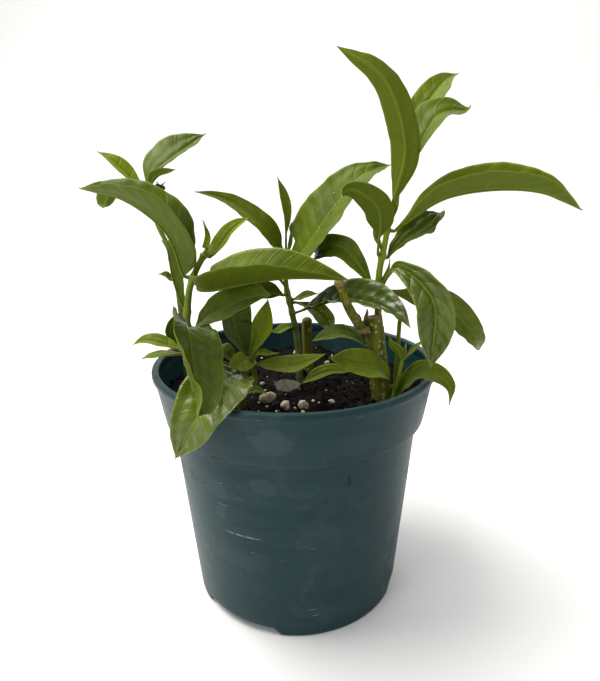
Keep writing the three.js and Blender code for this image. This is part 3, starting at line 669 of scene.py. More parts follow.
def upper_side(tracks):
    """Rough upward direction of each track row: from the midrib towards the mean of the margins."""
    toward = (tracks[:, 0] + tracks[:, 4]) / 2 - tracks[:, 2]
    along = np.gradient(tracks[:, 2], axis=0)
    across = tracks[:, 0] - tracks[:, 4]
    normal = unit(np.cross(along, across))
    if np.sum(normal * toward) < 0:
        normal = -normal
    return normal


def curl(surface, start, degrees, stretch):
    """Rolls the end of a blade about its width, from row start on."""
    middle = surface.shape[1] // 2
    pivot_rows = surface.shape[0] - start
    axis = unit(surface[start, -1] - surface[start, 0])
    out = surface.copy()
    for k in range(pivot_rows):
        row = start + k
        turn = math.radians(degrees) * k / max(1, pivot_rows - 1)
        q = np.array(Matrix.Rotation(turn, 3, Vector(axis)))
        local = surface[row] - surface[row, middle]
        if k == 0:
            centre = surface[row, middle]
        else:
            forward = surface[row, middle] - surface[row - 1, middle]
            centre = centre + q @ forward * stretch
        out[row] = centre + local @ q.T
    return out


def leaf_shell(shell, tracks, stem_point, tone=0.5, dry=0.0, wave=0.6, quilt=0.3, veins=None, rolled=None,
               petiole=0.95, seed=0, lobes=None, cup=0.3, gloss=0.0):
    """Adds a blade, its midrib and its petiole to shell. Returns its upper surface and normals."""
    r = np.random.default_rng(100 + seed)
    middle = tracks[:, 2]
    run = np.sum(np.linalg.norm(np.diff(middle, axis=0), axis=1))
    half = np.linalg.norm(tracks[:, 0] - tracks[:, 4], axis=1) / 2
    keep = 1 - 0.9 * np.exp(-(half / 1.5) ** 2)
    tracks = middle[:, None] + (tracks - middle[:, None]) * keep[:, None, None]
    tip = middle[-1] + unit(middle[-1] - middle[-2]) * 1.3
    last = middle[-1] + (tracks[-1] - middle[-1]) * 0.3 + (tip - middle[-1]) * 0.8
    tracks = np.concatenate([tracks, [last]])
    rows = int(min(110, max(26, run / ROW)))
    surface, s = blade_surface(tracks, rows)
    up = spline(upper_side(tracks), rows)[:, None]
    normal = surface_normals(surface, up)
    along = np.linspace(0, 1, rows)[:, None] * np.ones_like(s)[None]
    left = np.abs(s)[None] * np.ones((rows, 1))
    half = np.linalg.norm(surface[:, 0] - surface[:, -1], axis=1)[:, None] / 2
    count = veins or max(4, round(run / 7.0))
    fade = np.clip(half / 4.0, 0, 1)
    vein = (count * (along * 1.04 - 0.13 * left ** 1.5 * np.minimum(1, half / 9.0) - 0.02)
            + 0.23 * (s[None] > 0))
    ridge = np.abs(np.sin(math.pi * vein)) ** 0.8
    inner = np.clip(left / 0.22, 0, 1) * (1 - 0.55 * left ** 3)
    lift = quilt * (ridge - 0.5) * inner * fade
    phase = r.uniform(0, 2 * math.pi, 6)
    turns = run / 19.0
    side = np.sign(s)[None]
    ripple = (np.sin(2 * math.pi * turns * along + phase[0] + side * 0.9)
              + 0.6 * np.sin(2 * math.pi * turns * 1.83 * along + phase[1] - side * 1.3)
              + 0.4 * np.sin(2 * math.pi * turns * 3.1 * along + phase[2] + side * 0.4))
    lift = lift + wave * 0.5 * ripple * left ** 2.4 * fade
    swell = (np.sin(2 * math.pi * (1.7 * along + 0.8 * s[None]) + phase[3])
             * np.sin(2 * math.pi * (0.9 * along - 1.1 * s[None]) + phase[4]))
    lift = lift + 0.35 * wave * swell * fade
    lift = lift - 0.35 * np.exp(-(left * half / 0.8) ** 2) * fade
    lift = lift + cup * np.clip((left - 0.55) / 0.45, 0, 1) ** 2 * fade
    surface = surface + normal * lift[..., None]
    if lobes is not None:
        centre = surface[:, COLUMNS // 2][:, None]
        cut = 1 - sum(depth * np.exp(-((along - at) / size) ** 2) * (side == sign) * left ** 2
                      for at, size, depth, sign in lobes)
        surface = centre + (surface - centre) * cut[..., None]
    if rolled is not None:
        start, degrees, stretch = rolled
        surface = curl(surface, int(rows * start), degrees, stretch)
    normal = surface_normals(surface, normal)

    thin = BLADE / 2 * np.clip(0.35 + (1 - left) * 6, 0.35, 1)[..., None]
    top = surface + normal * thin
    bottom = surface - normal * thin
    ring = np.concatenate([top, bottom[:, ::-1]], axis=1)
    sides = ring.shape[1]
    ends = [surface[0, COLUMNS // 2], surface[-1, COLUMNS // 2] * 2 - surface[-2, COLUMNS // 2]]
    points = np.concatenate([ring.reshape(-1, 3), ends])
    mm = left * half
    margin = (1 - left) * half

    def both(values, last):
        return np.concatenate([np.concatenate([values, values[:, ::-1]], axis=1).ravel(), last])

    faced = np.concatenate([np.zeros_like(left), np.ones_like(left)], axis=1)
    under = np.concatenate([faced.ravel(), [0.5, 0.5]])
    flip = np.sum(np.cross(top[1, 1] - top[0, 1], top[0, 2] - top[0, 1]) * normal[0, 1]) > 0
    shell.add(points, loft_faces(rows, sides, flip=not flip), under=under, tone=float(tone),
              dry=float(dry), gloss=float(gloss), mm=both(mm, [0, 0]), edge=both(margin, [0, 0]),
              vein=both(vein * fade + 0.5 * (1 - fade), [0.5, 0.5]),
              along=both(along, [0, 1]))

    # Midrib under the blade, running down into the petiole and on to the stem.
    spine = surface[:, COLUMNS // 2]
    down = normal[:, COLUMNS // 2]
    part = np.linspace(0, 1, rows)
    thick = 0.20 + (0.72 - 0.20) * (1 - part) ** 1.3
    thick = thick * np.clip((1 - part) / 0.06, 0.3, 1)
    rib = spine - down * (thick * 0.75)[:, None]
    rib = rib[: int(rows * 0.97)]
    thick = thick[: int(rows * 0.97)]
    if stem_point is not None:
        reach = np.linalg.norm(rib[0] - stem_point)
        steps = max(3, int(reach / 1.2))
        stalk = np.array([stem_point + (rib[0] - stem_point) * k for k in np.linspace(0, 1, steps)])
        stalk_radius = np.interp(np.linspace(0, 1, len(stalk)), [0, 0.45, 1], [petiole * 1.35, petiole, 0.74])
        rib = np.concatenate([stalk[:-1], rib])
        thick = np.concatenate([stalk_radius[:-1], thick])
    if len(rib) > 30:
        kept = np.unique(np.concatenate([np.arange(0, len(rib), 2), [len(rib) - 1]]))
        rib, thick = rib[kept], thick[kept]
    points, faces = rod(rib, thick, sides=10)
    shell.add(points, faces, under=1.0, tone=float(tone), dry=0.0, mm=0.0, edge=5.0, vein=0.5, along=0.5)
    return top, normal


# Per leaf: the stem it grows on, and how it looks. tone goes from 0, deep green, to 1, yellow-green.
LEAVES = {
    "left_arching": ("stem_left", dict(tone=0.32, quilt=0.22, wave=0.7)),
    "left_behind": ("stem_left", dict(tone=0.15, quilt=0.4)),
    "left_tip_bud": ("stem_left", dict(tone=0.75, quilt=0.0, wave=0.1)),
    "left_top": ("stem_left", dict(tone=0.85, quilt=0.2, wave=0.4)),
    "left_long": ("stem_left", dict(tone=0.48, quilt=0.35, wave=0.5)),
    "left_dark": ("stem_left", dict(tone=0.30, quilt=0.4, wave=0.6)),
    "front_hanging": ("stem_left", dict(tone=0.20, quilt=0.5, wave=0.9, cup=2.6, gloss=0.3)),
    "left_over_rim": ("stem_left", dict(tone=0.65, quilt=0.3, wave=0.5)),
    "left_browned": ("stem_left", dict(tone=0.55, quilt=0.2, wave=0.5, dry=1.0)),
    "left_rounded": ("stem_left", dict(tone=0.15, quilt=0.3)),
    "left_back_outer": ("stem_left_back", dict(tone=0.90, quilt=0.15, wave=0.3)),
    "left_back_top": ("stem_left_back", dict(tone=0.28, quilt=0.55, wave=0.7, rolled=(0.84, 75, 1.0))),
    "left_back_sliver": ("stem_left_back", dict(tone=0.80, quilt=0.1, wave=0.2)),
    "left_back_drooping": ("stem_left_back", dict(tone=0.80, quilt=0.2, wave=0.4)),
    "left_back_curl": ("stem_left_back", dict(tone=0.40, quilt=0.1, wave=0.3)),
    "front_lowest": ("stem_front", dict(tone=0.42, quilt=0.8, wave=1.0, cup=0.8, gloss=0.8)),
    "front_rounded": ("stem_front", dict(tone=0.45, quilt=0.3)),
    "front_small": ("stem_front", dict(tone=0.55, quilt=0.2, wave=0.4)),
    "front_dark": ("stem_front", dict(tone=0.10, quilt=0.4)),
    "front_upright": ("stem_front", dict(tone=0.85, quilt=0.3, wave=0.5)),
    "front_curved": ("stem_front", dict(tone=0.60, quilt=0.2)),
    "front_level": ("stem_front", dict(tone=0.62, quilt=0.3, wave=0.6)),
    "front_foot": ("stem_front", dict(tone=0.70, quilt=0.1, wave=0.3)),
    "centre_low": ("stem_centre", dict(tone=0.15, quilt=0.3)),
    "centre_glossy": ("stem_centre", dict(tone=0.10, quilt=1.1, wave=1.0, gloss=1.0)),
    "centre_under": ("stem_centre", dict(tone=0.30, quilt=0.3)),
    "centre_sliver": ("stem_centre", dict(tone=0.40, quilt=0.2)),
    "centre_strip": ("stem_centre", dict(tone=0.55, quilt=0.1, wave=0.3)),
    "centre_large": ("stem_centre", dict(tone=0.36, quilt=0.35, wave=0.7)),
    "centre_upright": ("stem_centre", dict(tone=0.85, quilt=0.15, wave=0.3)),
    "centre_arching": ("stem_centre", dict(tone=0.55, quilt=0.3, wave=0.5)),
    "right_inner": ("cane_main", dict(tone=0.30, quilt=0.2, wave=0.5)),
    "right_twisted": ("cane_main", dict(tone=0.50, quilt=0.2, wave=0.6)),
    "right_level": ("shoot_small", dict(tone=0.60, quilt=0.3, wave=0.6)),
    "right_over_rim": ("shoot_small", dict(tone=0.45, quilt=0.4, wave=0.6)),
    "right_drooping": ("shoot_tall", dict(tone=0.35, quilt=0.4, wave=0.8)),
    "right_curled": ("shoot_tall", dict(tone=0.35, quilt=0.3, wave=0.6, rolled=(0.72, 190, 1.15))),
    "right_long": ("shoot_tall", dict(tone=0.70, quilt=0.3, wave=0.5)),
    "right_crumpled": ("shoot_tall", dict(tone=0.20, quilt=0.9, wave=2.2, cup=1.6,
                                              lobes=((0.62, 0.07, 0.55, 1), (0.86, 0.08, 0.5, -1)))),
    "right_hanging": ("shoot_tall", dict(tone=0.30, quilt=0.6, wave=0.8, gloss=0.7)),
    "right_back": ("shoot_tall", dict(tone=0.45, quilt=0.5, wave=0.9, dry=0.6)),
    "tall_top": ("shoot_tall", dict(tone=0.75, quilt=0.3, wave=0.5)),
    "tall_back": ("shoot_tall", dict(tone=0.66, quilt=0.25, wave=0.5)),
    "tall_right": ("shoot_tall", dict(tone=0.42, quilt=0.25, wave=0.5, rolled=(0.80, 170, 0.9))),
}


def build_leaves(material):
    """Every leaf as a piece of its own. Returns each one's upper surface and where it meets its stem."""
    grown = {}
    for number, (name, (stem, look)) in enumerate(LEAVES.items()):
        middle = STEMS[stem][0]
        points, _ = merged_node("leaf_" + name)
        line = evenly(middle, 1.5)[0]
        gap = np.linalg.norm(points[:, None] - line[None], axis=2).min(axis=1)
        foot = points[gap.argmin()]
        tracks = read_leaf(name, foot)
        meet = nearest_on(stem, tracks[0, 2])
        shell = Shell()
        top, normal = leaf_shell(shell, tracks, meet, seed=number, **look)
        shell.piece("leaf_blade_" + name, material, "leaf", replaces=["leaf_" + name])
        grown[name] = (top, normal, meet, stem)
    return grown


# ---- Stems ----------------------------------------------------------------------------------------

def wiggle(seed, sides, rows, strength):
    """A smooth random factor round a stem, [row, side]."""
    r = np.random.default_rng(seed)
    angle = 2 * math.pi * np.arange(sides) / sides
    row = np.arange(rows)[:, None]
    total = np.zeros((rows, sides))
    for k in range(1, 6):
        total += (r.normal() * np.cos(k * angle + r.uniform(0, 6.28) + row * r.normal() * 0.05)) / k
    return 1 + strength * total


def build_stem(name, meets, tone, seed):
    """A stem with a swelling where each leaf leaves it. tone is its green at the foot and at the tip."""
    centre, radius = STEMS[name]
    line, _ = evenly(centre, 0.9)
    thick = np.interp(np.linspace(0, 1, len(line)), np.linspace(0, 1, len(radius)), radius)
    for meet in meets:
        gap = np.linalg.norm(line - meet, axis=1)
        thick = thick * (1 + 0.22 * np.exp(-(gap / 1.6) ** 2))
    sides = 20
    bend = wiggle(seed, sides, len(line), 0.025)
    shell = Shell()
    points, faces = rod(line, thick, sides, shape=lambda angle, row: bend)
    tones = np.repeat(np.interp(line[:, 2], (SOIL_LEVEL, line[-1, 2]), tone), sides)
    shell.add(points, faces, tone=np.concatenate([tones, tone]))
    return shell


def bark_rod(shell, line, radius, seed, warts, cut_high, ends=(0.3, 0.0)):
    """A woody rod with fissures, pale warts scattered over it, and a sawn top if cut_high."""
    r = np.random.default_rng(seed)
    sides = 44
    line, length = evenly(line, 0.55)
    rows = len(line)
    thick = np.interp(np.linspace(0, 1, rows), np.linspace(0, 1, len(radius)), radius)
    angle = 2 * math.pi * np.arange(sides)[None] / sides
    row = np.arange(rows)[:, None] * 0.55
    factor = np.ones((rows, sides))
    for k in (3, 5, 8, 13):
        groove = k * angle + r.uniform(0, 6.28) + 0.09 * row * r.normal()
        factor = factor + 0.030 / math.sqrt(k) * np.cos(groove)
    knots = 0.03 * np.sin(row / 4.2 + r.uniform(0, 6)) + 0.02 * np.sin(row / 1.9 + 2 * angle)
    factor = factor + knots
    if not cut_high:
        from_top = (rows - 1 - np.arange(rows)[:, None]) * 0.55
        factor = factor * np.sqrt(np.clip(1 - (1 - np.clip(from_top / 2.4, 0, 1)) ** 2, 0.02, 1))
    wart = np.zeros((rows, sides))
    for _ in range(warts):
        at, high, size = r.uniform(0, 2 * math.pi), r.uniform(0, length), r.uniform(0.35, 0.75)
        turn = (angle - at + math.pi) % (2 * math.pi) - math.pi
        far = (turn * thick[:, None] / size) ** 2 + ((row - high) / (size * 1.5)) ** 2
        wart = np.maximum(wart, np.exp(-far))
    factor = factor + 0.055 * wart
    points, faces = rod(line, thick, sides, shape=lambda a, b: factor, ends=ends)
    shell.add(points, faces, wart=np.concatenate([wart.ravel(), [0, 0]]),
              cut=np.concatenate([np.zeros(rows * sides), [0, 1.0 if cut_high else 0]]))
    if cut_high:
        # The sawn face: a raised rim of bark, wood inside it and a sunken pith.
        tangent, side, other = frames_along(line)
        profile = [(1.00, 0.0, 0.3), (1.03, 0.35, 0.35), (0.97, 0.7, 0.6), (0.86, 0.62, 0.8),
                   (0.80, 0.35, 1.0),
                   (0.5, 0.40, 1.0), (0.28, 0.34, 1.0), (0.20, -0.15, 0.5), (0.0, -0.3, 0.4)]
        last = line[-1]
        ring_points, values = [], []
        for out, up, colour in profile:
            reach = thick[-1] * out * factor[-1]
            ring = (last + tangent[-1] * up + reach[:, None] * (np.cos(angle[0])[:, None] * side[-1]
                                                               + np.sin(angle[0])[:, None] * other[-1]))
            ring_points.append(ring)
            values.extend([colour] * sides)
        base = last - tangent[-1] * 0.5
        cap = np.concatenate([np.concatenate(ring_points), [base, last + tangent[-1] * -0.3]])
        cap_faces = loft_faces(len(profile), sides, flip=True)
        shell.add(cap, cap_faces, cut=values + [0.5, 0.4], wart=0.0)


# ---- Pot ------------------------------------------------------------------------------------------

POT_STEPS = 240
NOTCHES = (-124.0, -4.0, 116.0)


def build_pot(material):
    """The pot's wall as one closed turned shell, its foot ring lifted at the three drain notches."""
    height, rim, band, lip = POT_HEIGHT, POT_RIM, POT_BAND, POT_LIP
    wall = 1.8
    profile = [(0.0, 0.0), (11.3, 0.0), (11.9, 0.2), (12.2, 0.8), (12.8, 3.9), (13.4, 4.5), (26, 4.5),
               (40, 4.5),
               (51.8, 4.5), (52.9, 4.0), (53.6, 0.7), (54.0, 0.15), (54.5, 0.0), (56.7, 0.0), (57.4, 0.15),
               (57.8, 0.55), (58.0, 1.0)]
    profile += [(body(z), z) for z in np.linspace(2.5, band - 1.2, 44)]
    profile += [(body(band) + 0.15, band - 0.45), (body(band) + 0.7, band - 0.12), (body(band) + 1.5, band),
                (69.4, band), (69.9, band + 0.1), (70.25, band + 0.45), (70.45, band + 1.0)]
    profile += [(belt(z), z) for z in np.linspace(band + 2.5, lip - 1.0, 16)]
    profile += [(rim - 1.25, lip - 0.3), (rim - 0.85, lip + 0.05), (rim - 0.3, lip + 0.35),
                (rim - 0.05, lip + 0.8),
                (rim, lip + 1.4), (rim, height - 1.1), (rim - 0.15, height - 0.55),
                (rim - 0.5, height - 0.15),
                (rim - 1.0, height), (rim - 2.8, height), (rim - 3.3, height - 0.15),
                (rim - 3.65, height - 0.5),
                (rim - 3.8, height - 1.0), (rim - 3.8, lip + 0.4), (rim - 3.75, lip)]
    inner = belt(lip - 2) - wall
    profile += [(inner + 0.25, lip - 0.9), (inner, lip - 2.0)]
    profile += [(belt(z) - wall, z) for z in np.linspace(lip - 5, band + 4.6, 8)]
    profile += [(body(band + wall) - wall + 0.4, band + wall + 0.5),
                (body(band + wall) - wall, band + wall - 0.6)]
    profile += [(body(z) - wall, z) for z in np.linspace(band - 4, 9.5, 22)]
    profile += [(body(7.5) - wall - 0.9, 7.4), (body(6.3) - wall - 2.2, 6.35), (50, 6.3), (40, 6.3),
                (20, 6.3),
                (0.0, 6.3)]
    profile = np.array(profile)
    count = len(profile)
    angle = 2 * math.pi * np.arange(POT_STEPS) / POT_STEPS
    points = np.zeros((count, POT_STEPS, 3))
    radius = profile[:, 0][:, None] * np.ones(POT_STEPS)
    z = profile[:, 1][:, None] * np.ones(POT_STEPS)
    # A thin wall is never quite round or level.
    out = (profile[:, 1] / height)[:, None]
    radius = radius + out * (0.22 * np.cos(2 * angle + 0.6) + 0.10 * np.cos(3 * angle + 2.0)) * (radius > 30)
    for bearing in NOTCHES:
        turn = (np.degrees(angle) - bearing + 180) % 360 - 180
        top = 4.2 * np.clip((25.6 - np.abs(turn)) / 5.0, 0, 1)
        top = top * top * (3 - 2 * top / 4.2) / 4.2     # eased at the notch's sides
        foot = (profile[:, 0] > 52.5)[:, None] & (z < 7.0)
        outside = np.arange(count)[:, None] < 25
        z = np.where(foot & outside, top + z * (7.0 - top) / 7.0, z)
    points[..., 0] = radius * np.cos(angle)
    points[..., 1] = radius * np.sin(angle)
    points[..., 2] = z
    body_points = points[1:-1].reshape(-1, 3)
    faces = loft_faces(count - 2, POT_STEPS)
    all_points = np.concatenate([body_points, [(0, 0, 0), (0, 0, 6.3)]])
    pot = piece("pot_shell", all_points, faces, material, replaces=["nursery_pot"])
    drill(pot)


def drill(pot):
    """Cuts the six drain holes through the floor."""
    shell = Shell()
    for k in range(6):
        bearing = math.radians(60 * k)
        x, y = 42 * math.cos(bearing), 42 * math.sin(bearing)
        line = np.array([(x, y, z) for z in (2.0, 4.0, 6.0, 8.0)])
        points, faces = rod(line, [2.3] * 4, 28, ends=(0, 0))
        shell.add(points, faces)
    mesh = bpy.data.meshes.new("drill")
    mesh.from_pydata((np.array(shell.points) * MM).tolist(), [], shell.faces)
    cutter = bpy.data.objects.new("drill", mesh)
    bpy.context.collection.objects.link(cutter)
    cut = pot.modifiers.new("holes", "BOOLEAN")
    cut.operation = "DIFFERENCE"
    cut.object = cutter
    cut.solver = "EXACT"
    bpy.context.view_layer.objects.active = pot
    bpy.context.view_layer.update()
    evaluated = pot.evaluated_get(bpy.context.evaluated_depsgraph_get())
    result = bpy.data.meshes.new_from_object(evaluated)
    pot.modifiers.clear()
    old = pot.data
    pot.data = result
    bpy.data.meshes.remove(old)
    bpy.data.objects.remove(cutter)


# ---- Soil -----------------------------------------------------------------------------------------

def value_noise(x, y, size, seed):
    """Smooth random height over the plane, one value every size millimetres."""
    grid = np.random.default_rng(seed).uniform(-1, 1, (64, 64))
    u, v = x / size + 31.7, y / size + 17.3
    i, j = np.floor(u).astype(int), np.floor(v).astype(int)
    a, b = u - i, v - j
    a, b = a * a * (3 - 2 * a), b * b * (3 - 2 * b)
    at = lambda p, q: grid[p % 64, q % 64]
    return ((at(i, j) * (1 - a) + at(i + 1, j) * a) * (1 - b)
            + (at(i, j + 1) * (1 - a) + at(i + 1, j + 1) * a) * b)


def resting_places():
    """Where the flake and the granules of the frame lie, with how far their bed reaches."""
    places = []
    for name in ("litter_flake", "perlite_1", "perlite_2", "perlite_3"):
        low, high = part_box(name)
        middle = (low + high) / 2 / MM
        places.append(((middle.x, middle.y), 0.62 * (high.x - low.x) / MM + 1.0))
    return places


HUSHED = resting_places()


def soil_height(x, y):
    base = 1.1 * (np.sin(x / 9 + 1) * np.cos(y / 11) + 0.5 * np.sin(x / 4.3 - y / 5.1))
    rough = 1.5 * value_noise(x, y, 8.0, 1) + 1.3 * value_noise(x, y, 3.6, 2)
    rough += 0.9 * np.abs(value_noise(x, y, 1.7, 3)) + 0.45 * value_noise(x, y, 0.9, 4)
    # The soil is lower and smoother under the flake and the big granules, which lie on it.
    hush = np.zeros_like(x)
    for at, size in HUSHED:
        hush = np.maximum(hush, np.exp(-(((x - at[0]) ** 2 + (y - at[1]) ** 2) / size ** 2) ** 2))
    return SOIL_LEVEL + base + rough * (1 - hush) - 0.6 * hush


def build_soil(material):
    """The soil as a closed block: its rough surface, and plain sides that follow the pot's inside."""
    steps = 300
    rings = 120
    edge = 71.0
    angle = 2 * math.pi * np.arange(steps) / steps
    rows = []
    walls = [(52.3, 6.7), (56.2, 9.1), (60.8, 60.0), (64.6, 106.4), (68.4, 109.0), (70.4, 113.5)]
    for radius, z in walls:
        rows.append(np.stack([radius * np.cos(angle), radius * np.sin(angle), np.full(steps, z)], axis=1))
    for k in range(rings):
        radius = edge * (1 - k / rings)
        x, y = radius * np.cos(angle), radius * np.sin(angle)
        height = soil_height(x, y)
        if k < 4:
            height = height - 0.2 * (4 - k) ** 1.2
        rows.append(np.stack([x, y, height], axis=1))
    top = float(soil_height(np.array(0.0), np.array(0.0)))
    points = np.concatenate(rows + [np.array([(0, 0, 6.7), (0, 0, top)])])
    faces = loft_faces(len(rows), steps)
    piece("soil_block", points, faces, material, replaces=["potting_soil"])


ICO = {}


def ball(level):
    """Points and faces of a unit ball."""
    if level not in ICO:
        work = bmesh.new()
        bmesh.ops.create_icosphere(work, subdivisions=level, radius=1.0)
        ICO[level] = (np.array([v.co[:] for v in work.verts]),
                      [tuple(v.index for v in f.verts) for f in work.faces])
        work.free()
    return ICO[level]


def lump(r, size, squash=(1, 1, 1), level=2, rough=0.28):
    """A knobbly grain: a ball pushed in and out by a few random waves, then squashed and turned."""
    points, faces = ball(level)
    scale = np.ones(len(points))
    for k in range(7):
        wave = r.normal(size=3) * (1.2 + 0.55 * k)
        scale = scale + rough / (1 + 0.5 * k) * np.sin(points @ wave + r.uniform(0, 6.28))
    shaped = points * scale[:, None] * np.array(squash) * size / 2
    turn = np.array(Matrix.Rotation(r.uniform(0, 6.28), 3, Vector(r.normal(size=3)).normalized()))
    return shaped @ turn.T, faces


def build_crumbs(soil, perlite):
    """Grains, chips and fibres lying on the soil, and the small perlite among them."""
    r = np.random.default_rng(5)
    shell = Shell()
    for _ in range(900):
        radius = 70.5 * math.sqrt(r.uniform(0, 1))
        bearing = r.uniform(0, 2 * math.pi)
        x, y = radius * math.cos(bearing), radius * math.sin(bearing)
        size = r.uniform(0.8, 2.6) * (1.7 if r.uniform() < 0.06 else 1)
        points, faces = lump(r, size, (1, r.uniform(0.5, 1), r.uniform(0.35, 0.8)), level=1)
        z = float(soil_height(np.array(x), np.array(y))) + size * 0.15
        shell.add(points + (x, y, z), faces)
    for _ in range(130):
        radius = 68 * math.sqrt(r.uniform(0, 1))
        bearing = r.uniform(0, 2 * math.pi)
        x, y = radius * math.cos(bearing), radius * math.sin(bearing)
        heading, length = r.uniform(0, 6.28), r.uniform(3, 9)
        lift = float(soil_height(np.array(x), np.array(y))) + 0.7
        bend = r.normal() * 0.8
        line = np.array([(x + math.cos(heading + bend * k) * length * k,
                          y + math.sin(heading + bend * k) * length * k,
                          lift + 0.5 * math.sin(3 * k)) for k in np.linspace(-0.5, 0.5, 7)])
        points, faces = rod(line, [0.16 + 0.1 * r.uniform()] * 7, 6)
        shell.add(points, faces)
    shell.piece("soil_crumbs", soil, "soil")

    bits = Shell()
    placed = [(-25, 2.7, 3.0), (-18.3, 3.9, 2.2), (18.5, -27.5, 2.8), (1.4, 58.0, 3.5), (4.1, -33.1, 2.6),
              (0.1, -27.9, 2.0), (20.1, 30.8, 3.2), (-9.5, -33.0, 2.1), (-14.0, -31.5, 1.8),
              (9.5, -24.5, 2.2)]
    for x, y, size in placed:
        points, faces = lump(r, size, (1, 0.85, 0.7), level=2)
        bits.add(points + (x, y, float(soil_height(np.array(x), np.array(y))) + size * 0.3), faces)
    for _ in range(80):
        radius = 69 * math.sqrt(r.uniform(0, 1))
        bearing = r.uniform(0, 2 * math.pi)
        x, y = radius * math.cos(bearing), radius * math.sin(bearing)
        size = r.uniform(0.6, 1.7)
        points, faces = lump(r, size, (1, 0.9, 0.7), level=1)
        bits.add(points + (x, y, float(soil_height(np.array(x), np.array(y))) + size * 0.25), faces)
    bits.piece("perlite_bits", perlite, "perlite")
    for k in range(1, 4):
        low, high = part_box(f"perlite_{k}")
        middle = np.array(low + high) / 2 / MM
        size = (high.x - low.x) / MM
        points, faces = lump(r, size * 1.04, (1, 0.92, 0.85), level=4, rough=0.24)
        granule = Shell()
        granule.add(points + middle, faces)
        granule.piece(f"perlite_granule_{k}", perlite, "perlite", replaces=[f"perlite_{k}"])


def build_flake(material):
    """The dry flake on the soil: a thin curled plate with a torn outline."""
    low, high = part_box("litter_flake")
    middle = np.array(low + high) / 2 / MM
    size = np.array(high - low) / 2 / MM
    steps, rings = 72, 14
    r = np.random.default_rng(8)
    angle = 2 * math.pi * np.arange(steps) / steps
    outline = 0.93 + 0.05 * np.sin(3 * angle + 1) + 0.035 * np.sin(7 * angle) + 0.02 * r.normal(size=steps)
    rows = []
    for face in (1, -1):
        parts = np.linspace(0.04, 1, rings)
        for part in (parts if face == 1 else parts[::-1]):
            x = size[0] * outline * part * np.cos(angle)
            y = size[1] * outline * part * np.sin(angle)
            z = 0.005 * x * x - 0.004 * y * y + 0.25 * np.sin(x * 0.9 + y * 0.5) + face * 0.28 + 0.3
            rows.append(np.stack([x, y, z], axis=1))
    tip_up = np.array(Matrix.Rotation(math.radians(19), 3, "X"))
    points = np.concatenate(rows + [np.array([(0, 0, 0.58),
                                              (0, 0, 0.02)])]) @ tip_up.T + middle + (0, 0, 1.6)
    piece("dry_flake", points, loft_faces(len(rows), steps, flip=True), material,
          replaces=["litter_flake"])


def build_bud(material):
    """The withered bud: a shrivelled stalk and calyx with the curled lobes of the dead flower."""
    low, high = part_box("withered_bud")
    middle = np.array(low + high) / 2 / MM
    x0, x1 = low.x / MM, high.x / MM
    shell = Shell()
    line = np.array([(x0 - 1.2, middle[1] + 0.8, middle[2] - 1.0),
                     (x0 + 1.5, middle[1] + 0.3, middle[2] - 0.3),
                     (x0 + 4.5, middle[1], middle[2]), (x1 - 2, middle[1], middle[2] - 0.2)])
    fine, _ = evenly(line, 0.35)
    part = np.linspace(0, 1, len(fine))
    thick = 0.80 + 1.2 * np.exp(-((part - 0.62) / 0.2) ** 2)
    bend = wiggle(3, 18, len(fine), 0.10)
    points, faces = rod(fine, thick, 18, shape=lambda a, b: bend)
    shell.add(points, faces)
    r = np.random.default_rng(21)
    hub = line[2] + (0.6, 0, 0)
    for k in range(7):
        turn = 2 * math.pi * k / 7 + r.uniform(-0.3, 0.3)
        out = np.array((r.uniform(-0.3, 0.9), math.cos(turn), math.sin(turn)))
        reach = r.uniform(2.6, 4.2)
        path = np.array([hub + out * reach * t + np.array((0.9, 0, 0)) * t * t * r.uniform(-1, 1.5)
                         for t in np.linspace(0, 1, 8)])
        points, faces = rod(path, np.linspace(0.75, 0.18, 8), 8)
        shell.add(points, faces)
    shell.piece("dried_bud", material, "withered", replaces=["withered_bud"])


# ---- Small growth, drops, floor ---------------------------------------------------------------------

